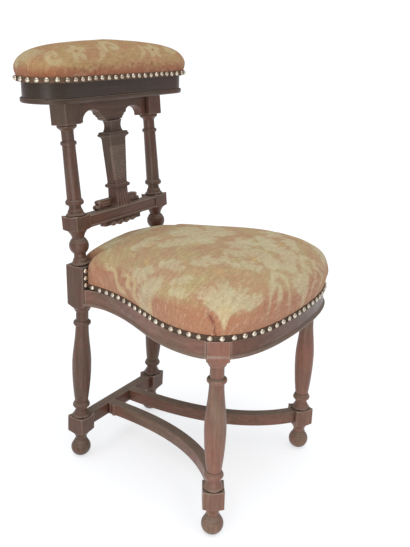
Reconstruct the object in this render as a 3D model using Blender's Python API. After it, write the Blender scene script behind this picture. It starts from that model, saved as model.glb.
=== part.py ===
"""A smoking chair: a low seat on turned legs, with a back that carries a padded box rail.

The sitter faces the back and leans on the box rail, whose padded lid opens on a compartment.
Metres, +Z up, front of the chair towards -Y, floor at z = 0, origin under the middle of the
chair's bounding box. "Left" is the -X side.
"""

import math
from collections import namedtuple

import bmesh
import bpy
from mathutils import Matrix, Vector

# Fits
FIT = 0.0003  # gap left between pieces that touch
END_GAP = 0.0010  # spare depth at the bottom of a mortise
TENON_ROOT = 0.0040  # how far a tenon starts inside its own piece

# Stock and set-out
STOCK = 0.0410  # square of the legs and posts
PART = STOCK / 41  # the turner's unit for small mouldings
POST_SPREAD = 0.1292  # chair middle to the axis of a rear post
LEG_RAKE = math.radians(3.2)  # rear legs, backwards below the seat
BACK_RAKE = math.radians(5.04)  # back posts, backwards above the seat

# Seat frame in plan, measured forwards from the rear post axis
SEAT_DEPTH = 0.4325  # to the front of the front rail
SEAT_HALF_WIDTH = 0.2165  # at its widest
WIDEST_FORWARD = 0.322  # where the seat is widest
CORNER_FORWARD = 0.406  # pull of the front corner's curve
FRONT_BOW = 0.138  # pull of the front's flat bow
SIDE_SWEEP = 0.215  # pull of the side's outward sweep
WAIST_FORWARD = 0.165  # pull of the hollow behind it
SEAT_HALF_REAR = 0.1365  # outer face of a side rail at the rear post
LEG_PLACE = 0.74  # where along the front curve a front leg stands, from the middle to the corner
LEG_PROUD = 0.0020  # front leg's outer face beyond the rail's face
HEM_END = 1.99  # last station of the cover's hem before a rear post

# Seat rails
RAIL_BOTTOM = 0.3720
SHOW_WOOD = 0.0345  # height of rail left bare under the cover
RAIL_HEIGHT = 0.0640
RAIL_THICK = 0.0240
RAIL_BEAD = 0.0040  # how far the lower bead stands out
RAIL_BEAD_HEIGHT = 0.0095
REAR_RAIL_THICK = 0.0200
RAIL_TENON = Vector((0.0120, 0.0080, 0.0200))  # length, thickness, height
TENON_INSET = 0.58  # middle of a tenon behind a rail's face, as a share of its thickness
STUB_INSET = 0.30  # how far a front leg's stub is drawn in, in the same shares

# Turned leg, heights above the floor
FOOT_R = 0.0210
FOOT_FLAT_R = 0.0070
FOOT_BLOCK_BOTTOM = 0.0620
FOOT_BLOCK_TOP = 0.1000
HORN = 0.0030  # how much higher a block's corners start and end than its faces
LOW_RING_Z = 0.1288
LOW_RING_HALF = 0.0078
HIGH_RING_Z = 0.3249
HIGH_RING_HALF = 0.0056
RING_FILLET = 0.0040  # ring to the baluster
BLOCK_SHOULDER = 0.0090  # seat block's shoulder below the rails
LEG_RING_R = 0.0185
LEG_NECK_R = 0.0115
BALUSTER_R = 0.0198
BALUSTER_END_R = 0.0135
BALUSTER_PEAK = 0.43  # share of the baluster's height at its fullest

# Back posts, distances up the raked axis from the top of the seat block
POST_BLOCK_RISE = 0.0170  # seat block above the rails
SEAT_BLOCK_DEPTH = 0.0450
BACK_HEIGHT = 0.3205  # seat block to the box
BACK_BALL = 0.0394
BACK_BALL_R = 0.0200
LOW_BLOCK_BOTTOM = 0.0712
LOW_BLOCK_TOP = 0.0995
LOW_COLUMN_RING = 0.1271
LOW_COLUMN_RING_HALF = 0.0058
HIGH_COLUMN_RING = 0.2426
HIGH_COLUMN_RING_HALF = 0.0042
HIGH_COLUMN_RING_R = 0.0160
COLUMN_FOOT_R = 0.0146
COLUMN_HEAD_R = 0.0130
TOP_BLOCK_BOTTOM = 0.2775

# Lower back rail, splat and apron
BACK_RAIL_HEIGHT = 0.0245
BACK_RAIL_THICK = 0.0270
BACK_RAIL_SET_BACK = 0.0020  # behind the front of the posts' blocks
BACK_RAIL_PANEL = 0.0025  # depth of the sunk panel on its face
SPLAT_FOOT = 0.0172  # half widths of the tapered splat
SPLAT_HEAD = 0.0242
SPLAT_HALF_THICK = 0.0112
SPLAT_FLARE = 0.0063  # spread of its foot on the rail
SPLAT_BASE = 0.0400  # foot to the base ring
SPLAT_CAP = 0.0280  # cap moulding to the head
SPLAT_FORWARD = 0.0045  # its middle before the posts' axes
APRON_THICK = 0.0200
APRON_DROP = 0.0460  # box to the lowest point of the apron at its middle
ARCH_INNER = 0.0320  # ends of each arch, from the chair's middle
ARCH_OUTER = 0.0920
ARCH_HEIGHT = 0.0195
ARCH_STEP = 0.0030  # small step at the springing of each arch
SCROLL_LENGTH = 0.0420
SCROLL_HEIGHT = 0.0170
SCROLL_THICK = 0.0150
PENDANT_HALF = 0.0580
PENDANT_DROP = 0.0165
PENDANT_THICK = 0.0160
PENDANT_LOBES = 5

# Stretchers
STRETCHER_TOP = 0.0985
STRETCHER_HEIGHT = 0.0280
REAR_STRETCHER_WIDTH = 0.0245
CURVED_STRETCHER_WIDTH = 0.0225
STRETCHER_EASE = 0.0020  # chamfer along its edges
STRETCHER_MEET = 0.0380  # where a curved stretcher meets the rear one, from the middle
STRETCHER_TENON = Vector((0.0100, 0.0080, 0.0160))
STRETCHER_BOW = 0.0040  # how far it first bows to the middle
STRETCHER_PULL = (0.45, 0.30)  # how long its two ends keep their direction, as shares of its reach
NIB_R = 0.0060  # rounded nib at the rear end of a curved stretcher

# Box rail
BOX_BASE_THICK = 0.0095
BOX_HALF_LENGTH = 0.2170
BOX_R = 0.0500  # half the depth, and the radius of its round ends
BOX_LIP = 0.0040  # how far the base moulding stands out
BOX_WALL = 0.0090
BOX_WALL_HEIGHT = 0.0272
DIVIDER_THICK = 0.0060
DIVIDER_HEIGHT = 0.0220
DIVIDER_X = 0.0700
POST_DOWEL_R = 0.0080
POST_DOWEL_LENGTH = 0.0060

# Padded lid
LID_OVERHANG = 0.0060
LID_BOARD_THICK = 0.0120
LID_PAD_HEIGHT = 0.0697  # cover's hem to its crown
LID_PAD_SWELL = 0.0032  # how far the pad swells past its hem

# Upholstery
COVER_THICK = 0.0025
TRIM_THICK = 0.0015
TRIM_HEIGHT = 0.0100
SEAT_CROWN = 0.1120  # cover's hem to its crown
SEAT_SWELL = 0.0060
SEAT_REAR_SHARE = 0.64  # height of the pad at the posts, as a share of the rest
SEAT_REAR_RISE = 0.0900  # distance from a post in which it comes up most of the way
BAND_SHARE = 0.1  # share of the crown that stands straight behind the braid
HEM_STEP = 0.0008  # least rise from row to row where the hem is turned up
HEM_GAP = 0.0010  # bare wood to the hem of the cover
WADDING_GAP = 0.0030  # soft wadding between the stuffing and the cover
CANVAS_THICK = 0.0015
CANVAS_LIFT = 0.0160  # rise of the spring canvas over the rails
WEB_MARGIN = 0.35  # end of a strap behind a rail's face, as a share of its thickness

# Springs and webbing
WEB_THICK = 0.0015
WEB_WIDTH = 0.0500
WEB_X = (-0.075, 0.0, 0.075)
WEB_FORWARD = (0.095, 0.195, 0.295)
SPRING_R = 0.0250
SPRING_WAIST_R = 0.0180
SPRING_WIRE = 0.0035
SPRING_CURLS = 4
POINTS_A_CURL = 8

# Hinges
HINGE_X = 0.1000
LEAF_WIDTH = 0.0360
LEAF_THICK = 0.0012
LEAF_LENGTH = 0.0170
BARREL_R = 0.0030
PIN_R = 0.0012
BARREL_GAP = 0.0006  # barrel clear of the wood
SCREW_R = 0.0013
SCREW_HEAD_R = 0.0026
SCREW_HEAD = 0.0010
SCREW_LENGTH = 0.0070
SCREW_X = 0.0105  # from the middle of a leaf

# Facets
SIDES = 16  # round a turned piece
RAIL_STEPS = 9  # along each of the seat's curves
STRETCHER_STEPS = 16
ARCH_STEPS = 8
PIN_SIDES = 8
END_SHARE = 8  # round each end of the box

# Worked-out places
HALF = STOCK / 2
REBATE = COVER_THICK + FIT
RAIL_TOP = RAIL_BOTTOM + RAIL_HEIGHT
WOOD_TOP = RAIL_BOTTOM + SHOW_WOOD
SEAT_BLOCK_TOP = RAIL_TOP + POST_BLOCK_RISE
BOX_BASE_Z = SEAT_BLOCK_TOP + BACK_HEIGHT
HEM_Z = WOOD_TOP + HEM_GAP
BOX_OFFSET = math.tan(BACK_RAKE) * (BOX_BASE_Z + BOX_BASE_THICK - SEAT_BLOCK_TOP)
LID_HEM_R = BOX_R + LID_OVERHANG + FIT + COVER_THICK
FRONT_REACH = SEAT_DEPTH + SEAT_SWELL
BACK_REACH = BOX_OFFSET + LID_HEM_R + LID_PAD_SWELL
POST_Y = (FRONT_REACH - BACK_REACH) / 2
BOX_Y = POST_Y + BOX_OFFSET
POST_FRONT = POST_Y - SEAT_BLOCK_DEPTH / 2
BOX_FLOOR = BOX_BASE_Z + BOX_BASE_THICK
BOX_TOP = BOX_FLOOR + FIT + BOX_WALL_HEIGHT
LID_BOTTOM = BOX_TOP + FIT
LID_HEM_Z = LID_BOTTOM + HEM_GAP
STRETCHER_MID = STRETCHER_TOP - STRETCHER_HEIGHT / 2
REAR_STRETCHER_Y = POST_Y + math.tan(LEG_RAKE) * (RAIL_BOTTOM - STRETCHER_MID)
HINGE_Y = BOX_Y + BOX_R + BARREL_GAP + BARREL_R
HINGE_Z = LID_BOTTOM - BARREL_GAP - BARREL_R
BACK_FRAME = Matrix.Translation((0, POST_Y, SEAT_BLOCK_TOP)) @ Matrix.Rotation(-BACK_RAKE, 4, "X")
PAD_CENTRE = Vector((0, POST_Y - SEAT_DEPTH / 2))

Row = namedtuple("Row", "z size square horn")  # one level of a turned piece
Edge = namedtuple("Edge", "place normal hem swell")  # one point round the seat pad


# Scene helpers


def finish(name, colour, roughness, metallic=0.0):
    """A plain Principled material, made once for each name."""
    found = bpy.data.materials.get(name)
    if found:
        return found
    material = bpy.data.materials.new(name)
    material.use_nodes = True
    shader = material.node_tree.nodes["Principled BSDF"]
    shader.inputs["Base Color"].default_value = (*colour, 1.0)
    shader.inputs["Roughness"].default_value = roughness
    shader.inputs["Metallic"].default_value = metallic
    return material


def walnut():
    return finish("dark_walnut", (0.085, 0.045, 0.032), 0.45)


def tapestry():
    return finish("needlepoint", (0.46, 0.27, 0.16), 0.95)


def braid():
    return finish("upholstery_braid", (0.10, 0.07, 0.05), 0.9)


def jute():
    return finish("jute", (0.38, 0.28, 0.16), 0.95)


def horsehair():
    return finish("horsehair", (0.12, 0.09, 0.07), 0.95)


def spring_steel():
    return finish("spring_steel", (0.30, 0.29, 0.28), 0.4, 1.0)


def brass():
    return finish("brass", (0.55, 0.40, 0.18), 0.35, 1.0)


def add_object(name, bm, material):
    bmesh.ops.recalc_face_normals(bm, faces=bm.faces)
    mesh = bpy.data.meshes.new(name)
    bm.to_mesh(mesh)
    bm.free()
    mesh.materials.append(material)
    obj = bpy.data.objects.new(name, mesh)
    bpy.context.scene.collection.objects.link(obj)
    return obj


def bridge(bm, pairs):
    """Faces between each pair of rings."""
    for lower, upper in pairs:
        for i in range(len(lower)):
            j = (i + 1) % len(lower)
            bm.faces.new((lower[i], lower[j], upper[j], upper[i]))


def skin(name, rings, material, loop=False):
    """A closed solid skinned over rings of points: capped at both ends, or joined end to end as a loop."""
    bm = bmesh.new()
    rows = [[bm.verts.new(point) for point in ring] for ring in rings]
    pairs = list(zip(rows, rows[1:]))
    if loop:
        pairs.append((rows[-1], rows[0]))
    else:
        bm.faces.new(rows[0])
        bm.faces.new(rows[-1])
    bridge(bm, pairs)
    return add_object(name, bm, material)


def smooth(obj, angle=35.0):
    obj.data.shade_smooth()
    obj.data.set_sharp_from_angle(angle=math.radians(angle))
    return obj


def helper(name, rings):
    """A hidden solid that cuts or extends a piece."""
    obj = skin(name, rings, walnut())
    obj.hide_render = True
    obj.display_type = "WIRE"
    return obj


def box_rings(frame, low, high):
    corners = ((low[1], low[2]), (high[1], low[2]), (high[1], high[2]), (low[1], high[2]))
    return [[frame @ Vector((x, y, z)) for y, z in corners] for x in (low[0], high[0])]


def rod_rings(frame, radius, low, high, sides=PIN_SIDES):
    """Two rings of a rod along the frame's X axis."""
    turns = [2 * math.pi * i / sides for i in range(sides)]
    return [
        [frame @ Vector((x, radius * math.cos(a), radius * math.sin(a))) for a in turns] for x in (low, high)
    ]


def combine(obj, tool, operation):
    modifier = obj.modifiers.new(f"{operation.lower()}_{tool.name}", "BOOLEAN")
    modifier.operation = operation
    modifier.solver = "EXACT"
    modifier.object = tool


def fuse(obj, tool):
    combine(obj, tool, "UNION")


def cut(obj, tool):
    combine(obj, tool, "DIFFERENCE")


def joint_frame(origin, along, up):
    """A frame whose X axis runs along a tenon, from its shoulder."""
    x = Vector(along).normalized()
    y = Vector(up).cross(x).normalized()
    z = x.cross(y)
    frame = Matrix((x, y, z)).transposed().to_4x4()
    frame.translation = origin
    return frame


def tenon_joint(tenoned, mortised, frame, size):
    """A tenon fused to one piece, and its mortise cut in the other with the named clearance."""
    length, thickness, height = size
    name = f"{tenoned.name}_in_{mortised.name}"
    tenon = box_rings(frame, (-TENON_ROOT, -thickness / 2, -height / 2), (length, thickness / 2, height / 2))
    fuse(tenoned, helper(f"tenon_{name}", tenon))
    half_y, half_z = thickness / 2 + FIT, height / 2 + FIT
    mortise = box_rings(frame, (-TENON_ROOT, -half_y, -half_z), (length + END_GAP, half_y, half_z))
    cut(mortised, helper(f"mortise_{name}", mortise))


# Curves


def bezier(points, t):
    """The point and the direction of travel of a cubic curve."""
    a, b, c, d = (Vector(point) for point in points)
    s = 1 - t
    place = s**3 * a + 3 * s * s * t * b + 3 * s * t * t * c + t**3 * d
    travel = s * s * (b - a) + 2 * s * t * (c - b) + t * t * (d - c)
    return place, travel.normalized()


def seat_curve(u):
    """A point of the seat's outline and its outward normal in plan.

    u runs from -2 at the left rear post, through 0 at the front middle, to 2 at the right rear
    post. The front corners are at -1 and 1.
    """
    front = POST_Y - SEAT_DEPTH
    widest = (SEAT_HALF_WIDTH, POST_Y - WIDEST_FORWARD)
    if abs(u) <= 1:
        points = ((0, front), (FRONT_BOW, front), (SEAT_HALF_WIDTH, POST_Y - CORNER_FORWARD), widest)
        place, travel = bezier(points, abs(u))
    else:
        sweep = (SEAT_HALF_WIDTH, POST_Y - SIDE_SWEEP)
        waist = (SEAT_HALF_REAR, POST_Y - WAIST_FORWARD)
        points = (widest, sweep, waist, (SEAT_HALF_REAR, POST_FRONT - FIT))
        place, travel = bezier(points, abs(u) - 1)
    side = -1 if u < 0 else 1
    return Vector((side * place.x, place.y)), Vector((side * travel.y, -travel.x))


def spread(low, high, count):
    return [low + (high - low) * i / count for i in range(count + 1)]


def swept(stations, section):
    """Rings of a section of (outward, height) points carried along stations of (place, outward normal)."""
    rings = []
    for place, normal in stations:
        rings.append([(*(place + normal * out), z) for out, z in section])
    return rings


def eased_section(half_width, low, high):
    """A rectangle with chamfered edges, as (outward, height) points."""
    e = STRETCHER_EASE
    right = [(half_width - e, low), (half_width, low + e), (half_width, high - e), (half_width - e, high)]
    return right + [(-x, z) for x, z in reversed(right)]


def stadium(half_length, radius, z):
    """A ring with straight sides along X and round ends, about the middle of the box rail."""
    straight = half_length - radius
    points = []
    for side, start in ((1, -90), (-1, 90)):
        for i in range(END_SHARE + 1):
            angle = math.radians(start + 180 * i / END_SHARE)
            x = side * straight + radius * math.cos(angle)
            points.append((x, BOX_Y + radius * math.sin(angle), z))
    return points


# Turned work


def bead(z, inner, outer, half_height):
    """A half-round ring turned on a shaft."""
    flat = half_height * 0.45
    return turned((z - half_height, inner), (z - flat, outer), (z + flat, outer), (z + half_height, inner))


def ball(z, radius, low_r, high_r, count=5):
    """A ball cut off where its radius falls to low_r below and high_r above."""
    start, end = -math.acos(low_r / radius), math.acos(high_r / radius)
    return [Row(z + radius * math.sin(a), radius * math.cos(a), False, 0) for a in spread(start, end, count)]


def turned(*pairs):
    return [Row(z, radius, False, 0) for z, radius in pairs]


def squared(bottom, top):
    """A block left square: its corners run up past the shoulder above and are cut away below."""
    return [Row(bottom, HALF, True, HORN), Row(top, HALF, True, HORN)]


def collar(z):
    """The stepped collar turned above a block."""
    edge = HALF - PART
    steps = [(0, edge), (4.5, edge), (6.5, edge - 2.2 * PART), (12, LEG_NECK_R + 2.5 * PART)]
    steps += [(16, LEG_NECK_R), (19, LEG_NECK_R)]
    return turned(*((z + rise * PART, radius) for rise, radius in steps))


def shoulder(z):
    """The hollow shoulder turned below a block, ending at z."""
    steps = ((16, LEG_NECK_R), (9, LEG_NECK_R + 2.2 * PART), (0.5, HALF - 1.2 * PART))
    return turned(*((z - drop * PART, radius) for drop, radius in steps))


def baluster(bottom, top, count=6):
    power = math.log(0.5) / math.log(BALUSTER_PEAK)
    rows = []
    for u in spread(0, 1, count):
        swell = math.sin(math.pi * u**power)
        radius = BALUSTER_END_R + (BALUSTER_R - BALUSTER_END_R) * swell
        rows.append(Row(bottom + (top - bottom) * u, radius, False, 0))
    return rows


def leg_rows():
    """The turned leg, from the floor to the underside of its seat block."""
    centre = math.sqrt(FOOT_R**2 - FOOT_FLAT_R**2)
    rows = ball(centre, FOOT_R, FOOT_FLAT_R, LEG_NECK_R)
    rows += shoulder(FOOT_BLOCK_BOTTOM)
    rows += squared(FOOT_BLOCK_BOTTOM, FOOT_BLOCK_TOP)
    rows += collar(FOOT_BLOCK_TOP)
    rows += bead(LOW_RING_Z, LEG_NECK_R + 1.5 * PART, LEG_RING_R, LOW_RING_HALF)
    low, high = LOW_RING_Z + LOW_RING_HALF, HIGH_RING_Z - HIGH_RING_HALF
    rows += baluster(low + RING_FILLET, high - RING_FILLET)
    rows += bead(HIGH_RING_Z, BALUSTER_END_R + 0.5 * PART, LEG_RING_R, HIGH_RING_HALF)
    rows += turned((HIGH_RING_Z + HIGH_RING_HALF + 2 * PART, LEG_NECK_R + 1.2 * PART))
    rows += shoulder(RAIL_BOTTOM - BLOCK_SHOULDER)
    return rows


def back_rows():
    """The turned back post, from the top of its seat block to the underside of its top block."""
    neck = LEG_NECK_R + 0.7 * PART
    rows = [row for row in collar(0) if row.z > 0]
    rows += ball(BACK_BALL, BACK_BALL_R, neck, neck)
    rows += shoulder(LOW_BLOCK_BOTTOM)[1:]
    rows += squared(LOW_BLOCK_BOTTOM, LOW_BLOCK_TOP)
    rows += collar(LOW_BLOCK_TOP)
    fillet = 2 * PART
    foot, head = LOW_COLUMN_RING + LOW_COLUMN_RING_HALF, HIGH_COLUMN_RING - HIGH_COLUMN_RING_HALF
    rows += bead(LOW_COLUMN_RING, neck + PART, LEG_RING_R, LOW_COLUMN_RING_HALF)
    rows += turned((foot + fillet, COLUMN_FOOT_R), (head - fillet, COLUMN_HEAD_R))
    rows += bead(HIGH_COLUMN_RING, COLUMN_HEAD_R, HIGH_COLUMN_RING_R, HIGH_COLUMN_RING_HALF)
    rows += turned((HIGH_COLUMN_RING + HIGH_COLUMN_RING_HALF + fillet, neck))
    capital = ((12, neck), (7, HALF - 2.5 * PART), (0.5, HALF - 1.2 * PART))
    return rows + turned(*((TOP_BLOCK_BOTTOM - drop * PART, radius) for drop, radius in capital))


def ring_of(row, half_depth=None):
    """The ring of local points of one row: a circle, or a square whose corners sit higher by its horn."""
    points = []
    for i in range(SIDES):
        angle = 2 * math.pi * i / SIDES
        c, s = math.cos(angle), math.sin(angle)
        reach = 1 / max(abs(c), abs(s))
        corner = (reach - 1) / (math.sqrt(2) - 1)
        if row.square:
            deep = half_depth or row.size
            points.append(Vector((row.size * c * reach, deep * s * reach, row.z + row.horn * corner)))
        else:
            points.append(Vector((row.size * c, row.size * s, row.z)))
    return points


def post_rings(rows, place):
    """Rings of a turned piece, each point moved by place."""
    return [[place(point) for point in ring_of(row)] for row in rows]


# Legs and posts


def leg_axis(side):
    """A front leg's frame: its -Y face looks out square to the seat's curve."""
    place, normal = seat_curve(side * LEG_PLACE)
    place = place - normal * (HALF - LEG_PROUD)
    frame = Matrix(((-normal.y, -normal.x, 0), (normal.x, -normal.y, 0), (0, 0, 1))).to_4x4()
    frame.translation = (place.x, place.y, 0)
    return frame


def front_leg(name, side):
    """One turned front leg, with a stub above its block that stays inside the seat cover."""
    frame = leg_axis(side)
    stub = HALF - RAIL_THICK * STUB_INSET
    rows = leg_rows() + squared(RAIL_BOTTOM - BLOCK_SHOULDER, WOOD_TOP)
    rows[-1] = rows[-1]._replace(horn=0)
    rings = post_rings(rows, lambda point: frame @ point)
    for z in (WOOD_TOP, RAIL_TOP):
        rings.append([frame @ point for point in ring_of(Row(z, stub, True, 0))])
    return smooth(skin(name, rings, walnut()))


def rear_post(name, side):
    """A rear leg and back post in one piece: raked back below the seat and, more, above it."""
    x = side * POST_SPREAD

    def below(point):
        shift = math.tan(LEG_RAKE) * max(0, RAIL_BOTTOM - point.z)
        return Vector((x + point.x, POST_Y + shift + point.y, point.z))

    def above(point):
        return BACK_FRAME @ (point + Vector((x, 0, 0)))

    rings = post_rings(leg_rows(), below)
    for row in squared(RAIL_BOTTOM - BLOCK_SHOULDER, SEAT_BLOCK_TOP):
        rings.append([below(point) for point in ring_of(row, SEAT_BLOCK_DEPTH / 2)])
    rings += post_rings(turned((SEAT_BLOCK_TOP, HALF - PART)), below)
    rings += post_rings(back_rows() + [Row(TOP_BLOCK_BOTTOM, HALF, True, 0)], above)
    rings.append([raised(point, BOX_BASE_Z - FIT) for point in rings[-1]])
    return smooth(skin(name, rings, walnut()))


def raised(point, z):
    """The point slid up the back's rake to a level."""
    return point + Vector((0, math.tan(BACK_RAKE), 1)) * (z - point.z)


# Seat frame


def rail_section():
    """A seat rail: a bead along its lower edge, a bare face, and a rebate for the cover above."""
    z, bead_top = RAIL_BOTTOM, RAIL_BOTTOM + RAIL_BEAD_HEIGHT
    ease = RAIL_BEAD * 0.6
    outside = [(RAIL_BEAD - ease, z), (RAIL_BEAD, z + ease), (RAIL_BEAD, bead_top - ease)]
    outside += [(0, bead_top), (0, WOOD_TOP), (-REBATE, WOOD_TOP), (-REBATE, RAIL_TOP)]
    return outside + [(-RAIL_THICK, RAIL_TOP), (-RAIL_THICK, z)]


def seat_stations(low, high):
    """The stations that every piece along the seat's curve shares, from one place on it to another."""
    grid = [i / RAIL_STEPS for i in range(-2 * RAIL_STEPS, 2 * RAIL_STEPS + 1)] + [-HEM_END, HEM_END]
    return [u for u in sorted(grid) if low - 1e-6 <= u <= high + 1e-6]


def seat_rail(name, low, high):
    stations = [seat_curve(u) for u in seat_stations(low, high)]
    return skin(name, swept(stations, rail_section()), walnut())


def clear_of_leg(rail, side):
    """Trims a rail's end to the side face of a front leg."""
    half = HALF + FIT
    low, high = (-half, -2 * STOCK, RAIL_BOTTOM - STOCK), (half, STOCK, RAIL_TOP + STOCK)
    cut(rail, helper(f"trim_{rail.name}_{side}", box_rings(leg_axis(side), low, high)))


def leg_tenon(rail, leg, side, towards):
    """A rail's tenon in the side of a front leg; towards is the side of the leg it comes from."""
    frame = leg_axis(side)
    inset = HALF - LEG_PROUD - RAIL_THICK * TENON_INSET
    origin = frame @ Vector((towards * (HALF + FIT), -inset, RAIL_BOTTOM + SHOW_WOOD / 2))
    along = frame.to_3x3() @ Vector((-towards, 0, 0))
    tenon_joint(rail, leg, joint_frame(origin, along, (0, 0, 1)), RAIL_TENON)


def seat_frame(posts, legs):
    mid_z = RAIL_BOTTOM + SHOW_WOOD / 2
    leg_step = 1 / RAIL_STEPS
    front = seat_rail("front_rail", -LEG_PLACE - leg_step, LEG_PLACE + leg_step)
    for side, word in ((-1, "left"), (1, "right")):
        ends = sorted((side * (LEG_PLACE - leg_step), side * 2))
        rail = seat_rail(f"side_rail_{word}", *ends)
        for piece, towards in ((rail, side), (front, -side)):
            clear_of_leg(piece, side)
            leg_tenon(piece, legs[side], side, towards)
        origin = Vector((side * (SEAT_HALF_REAR - RAIL_THICK / 2), POST_FRONT - FIT, mid_z))
        tenon_joint(rail, posts[side], joint_frame(origin, (0, 1, 0), (0, 0, 1)), RAIL_TENON)
    reach = POST_SPREAD - HALF - FIT
    low = (-reach, POST_Y - REAR_RAIL_THICK / 2, RAIL_BOTTOM)
    high = (reach, POST_Y + REAR_RAIL_THICK / 2, RAIL_TOP)
    rear = skin("rear_rail", box_rings(Matrix.Identity(4), low, high), walnut())
    for side in (-1, 1):
        origin = Vector((side * reach, POST_Y, mid_z))
        tenon_joint(rear, posts[side], joint_frame(origin, (side, 0, 0), (0, 0, 1)), RAIL_TENON)


# Stretchers


def stretchers(posts, legs):
    low, high = STRETCHER_TOP - STRETCHER_HEIGHT, STRETCHER_TOP
    reach = POST_SPREAD - HALF - FIT
    stations = [(Vector((x, REAR_STRETCHER_Y)), Vector((0, 1))) for x in (-reach, reach)]
    section = eased_section(REAR_STRETCHER_WIDTH / 2, low, high)
    rear = skin("rear_stretcher", swept(stations, section), walnut())
    for side, word in ((-1, "left"), (1, "right")):
        origin = Vector((side * reach, REAR_STRETCHER_Y, STRETCHER_MID))
        tenon_joint(rear, posts[side], joint_frame(origin, (side, 0, 0), (0, 0, 1)), STRETCHER_TENON)
        curved_stretcher(f"curved_stretcher_{word}", side, rear, legs[side])


def curved_stretcher(name, side, rear, leg):
    """One of the two sawn stretchers that sweep from the rear stretcher out to a front leg."""
    start = Vector((side * STRETCHER_MEET, REAR_STRETCHER_Y - REAR_STRETCHER_WIDTH / 2 - FIT))
    frame = leg_axis(side)
    end = (frame @ Vector((0, HALF + FIT, 0))).xy
    outwards = (frame.to_3x3() @ Vector((0, -1, 0))).xy
    first, last = (share * (end - start).length for share in STRETCHER_PULL)
    waist = Vector((start.x - side * STRETCHER_BOW, start.y - first))
    points = (start, waist, end - outwards * last, end)
    stations = []
    for t in spread(0, 1, STRETCHER_STEPS):
        place, travel = bezier(points, t)
        stations.append((place, Vector((travel.y, -travel.x))))
    stations[0] = (start, Vector((-1, 0)))
    section = eased_section(CURVED_STRETCHER_WIDTH / 2, STRETCHER_TOP - STRETCHER_HEIGHT, STRETCHER_TOP)
    piece = skin(name, swept(stations, section), walnut())
    nib_x = start.x + side * CURVED_STRETCHER_WIDTH / 2
    nib = joint_frame(Vector((nib_x, start.y - 1.5 * NIB_R, 0)), (0, 0, 1), (0, 1, 0))
    ease = 2 * STRETCHER_EASE
    nib_rings = rod_rings(nib, NIB_R, STRETCHER_TOP - STRETCHER_HEIGHT + ease, STRETCHER_TOP - ease)
    fuse(piece, helper(f"nib_{name}", nib_rings))
    origin = Vector((*end, STRETCHER_MID))
    tenon_joint(piece, leg, joint_frame(origin, (*outwards, 0), (0, 0, 1)), STRETCHER_TENON)
    origin = Vector((*start, STRETCHER_MID))
    tenon_joint(piece, rear, joint_frame(origin, (0, 1, 0), (0, 0, 1)), STRETCHER_TENON)


# Back


def back_piece(name, rings):
    """A piece modelled in the raked frame of the back: x across, y backwards, z up the posts."""
    obj = skin(name, rings, walnut())
    obj.matrix_world = BACK_FRAME
    return obj


def plate(name, outline, front, thickness):
    """An upright board of the back with the given outline of (x, height) points."""
    return back_piece(name, [[(x, y, z) for x, z in outline] for y in (front, front + thickness)])


def back_rail_levels():
    middle = (LOW_BLOCK_BOTTOM + LOW_BLOCK_TOP) / 2 + HORN / 4
    return middle - BACK_RAIL_HEIGHT / 2, middle + BACK_RAIL_HEIGHT / 2


def back_tenon(piece, mortised, origin, along, size):
    turn = BACK_FRAME.to_3x3()
    frame = joint_frame(BACK_FRAME @ Vector(origin), turn @ Vector(along), turn @ Vector((0, -1, 0)))
    tenon_joint(piece, mortised, frame, size)


def lower_back_rail(posts):
    """The moulded rail between the low blocks, with a sunk panel along its face."""
    low, high = back_rail_levels()
    front = -HALF + BACK_RAIL_SET_BACK
    rear = front + BACK_RAIL_THICK
    edge = BACK_RAIL_HEIGHT * 0.18
    panel = front + BACK_RAIL_PANEL
    lip = BACK_RAIL_PANEL * 0.6
    section = [(front, low), (front, low + edge), (panel, low + edge + lip), (panel, high - edge - lip)]
    section += [(front, high - edge), (front, high), (rear, high), (rear, low)]
    reach = POST_SPREAD - HALF - FIT
    rail = back_piece("lower_back_rail", [[(x, y, z) for y, z in section] for x in (-reach, reach)])
    size = Vector((RAIL_TENON.x, BACK_RAIL_HEIGHT * 0.6, RAIL_TENON.y))
    for side in (-1, 1):
        origin = (side * reach, (front + rear) / 2, (low + high) / 2)
        back_tenon(rail, posts[side], origin, (side, 0, 0), size)
    return rail


def apron(posts):
    """The arched board under the box, cut to the box's level along its top."""
    reach = POST_SPREAD - HALF - FIT
    level = (BOX_BASE_Z - SEAT_BLOCK_TOP) / math.cos(BACK_RAKE)
    middle = level - APRON_DROP
    spring = TOP_BLOCK_BOTTOM + ARCH_STEP
    rise = ARCH_HEIGHT
    half_span = (ARCH_OUTER - ARCH_INNER) / 2
    arch_middle = (ARCH_OUTER + ARCH_INNER) / 2
    right = [(ARCH_INNER * 0.6, middle), (ARCH_INNER * 0.85, middle + rise * 0.12)]
    for angle in spread(math.pi, 0, ARCH_STEPS):
        right.append((arch_middle + half_span * math.cos(angle), spring + rise * math.sin(angle)))
    right += [(ARCH_OUTER, spring - ARCH_STEP), (reach, spring - ARCH_STEP)]
    bottom = [(-x, z) for x, z in reversed(right)] + right
    rings = []
    for y in (-APRON_THICK / 2, APRON_THICK / 2):
        top = level - FIT + y * math.tan(BACK_RAKE)
        rings.append([(x, y, z) for x, z in bottom + [(reach, top), (-reach, top)]])
    board = back_piece("arched_apron", rings)
    size = Vector((RAIL_TENON.x, RAIL_TENON.z, RAIL_TENON.y))
    for side in (-1, 1):
        origin = (side * reach, 0, (spring + level) / 2)
        back_tenon(board, posts[side], origin, (side, 0, 0), size)
    return board, middle


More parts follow.
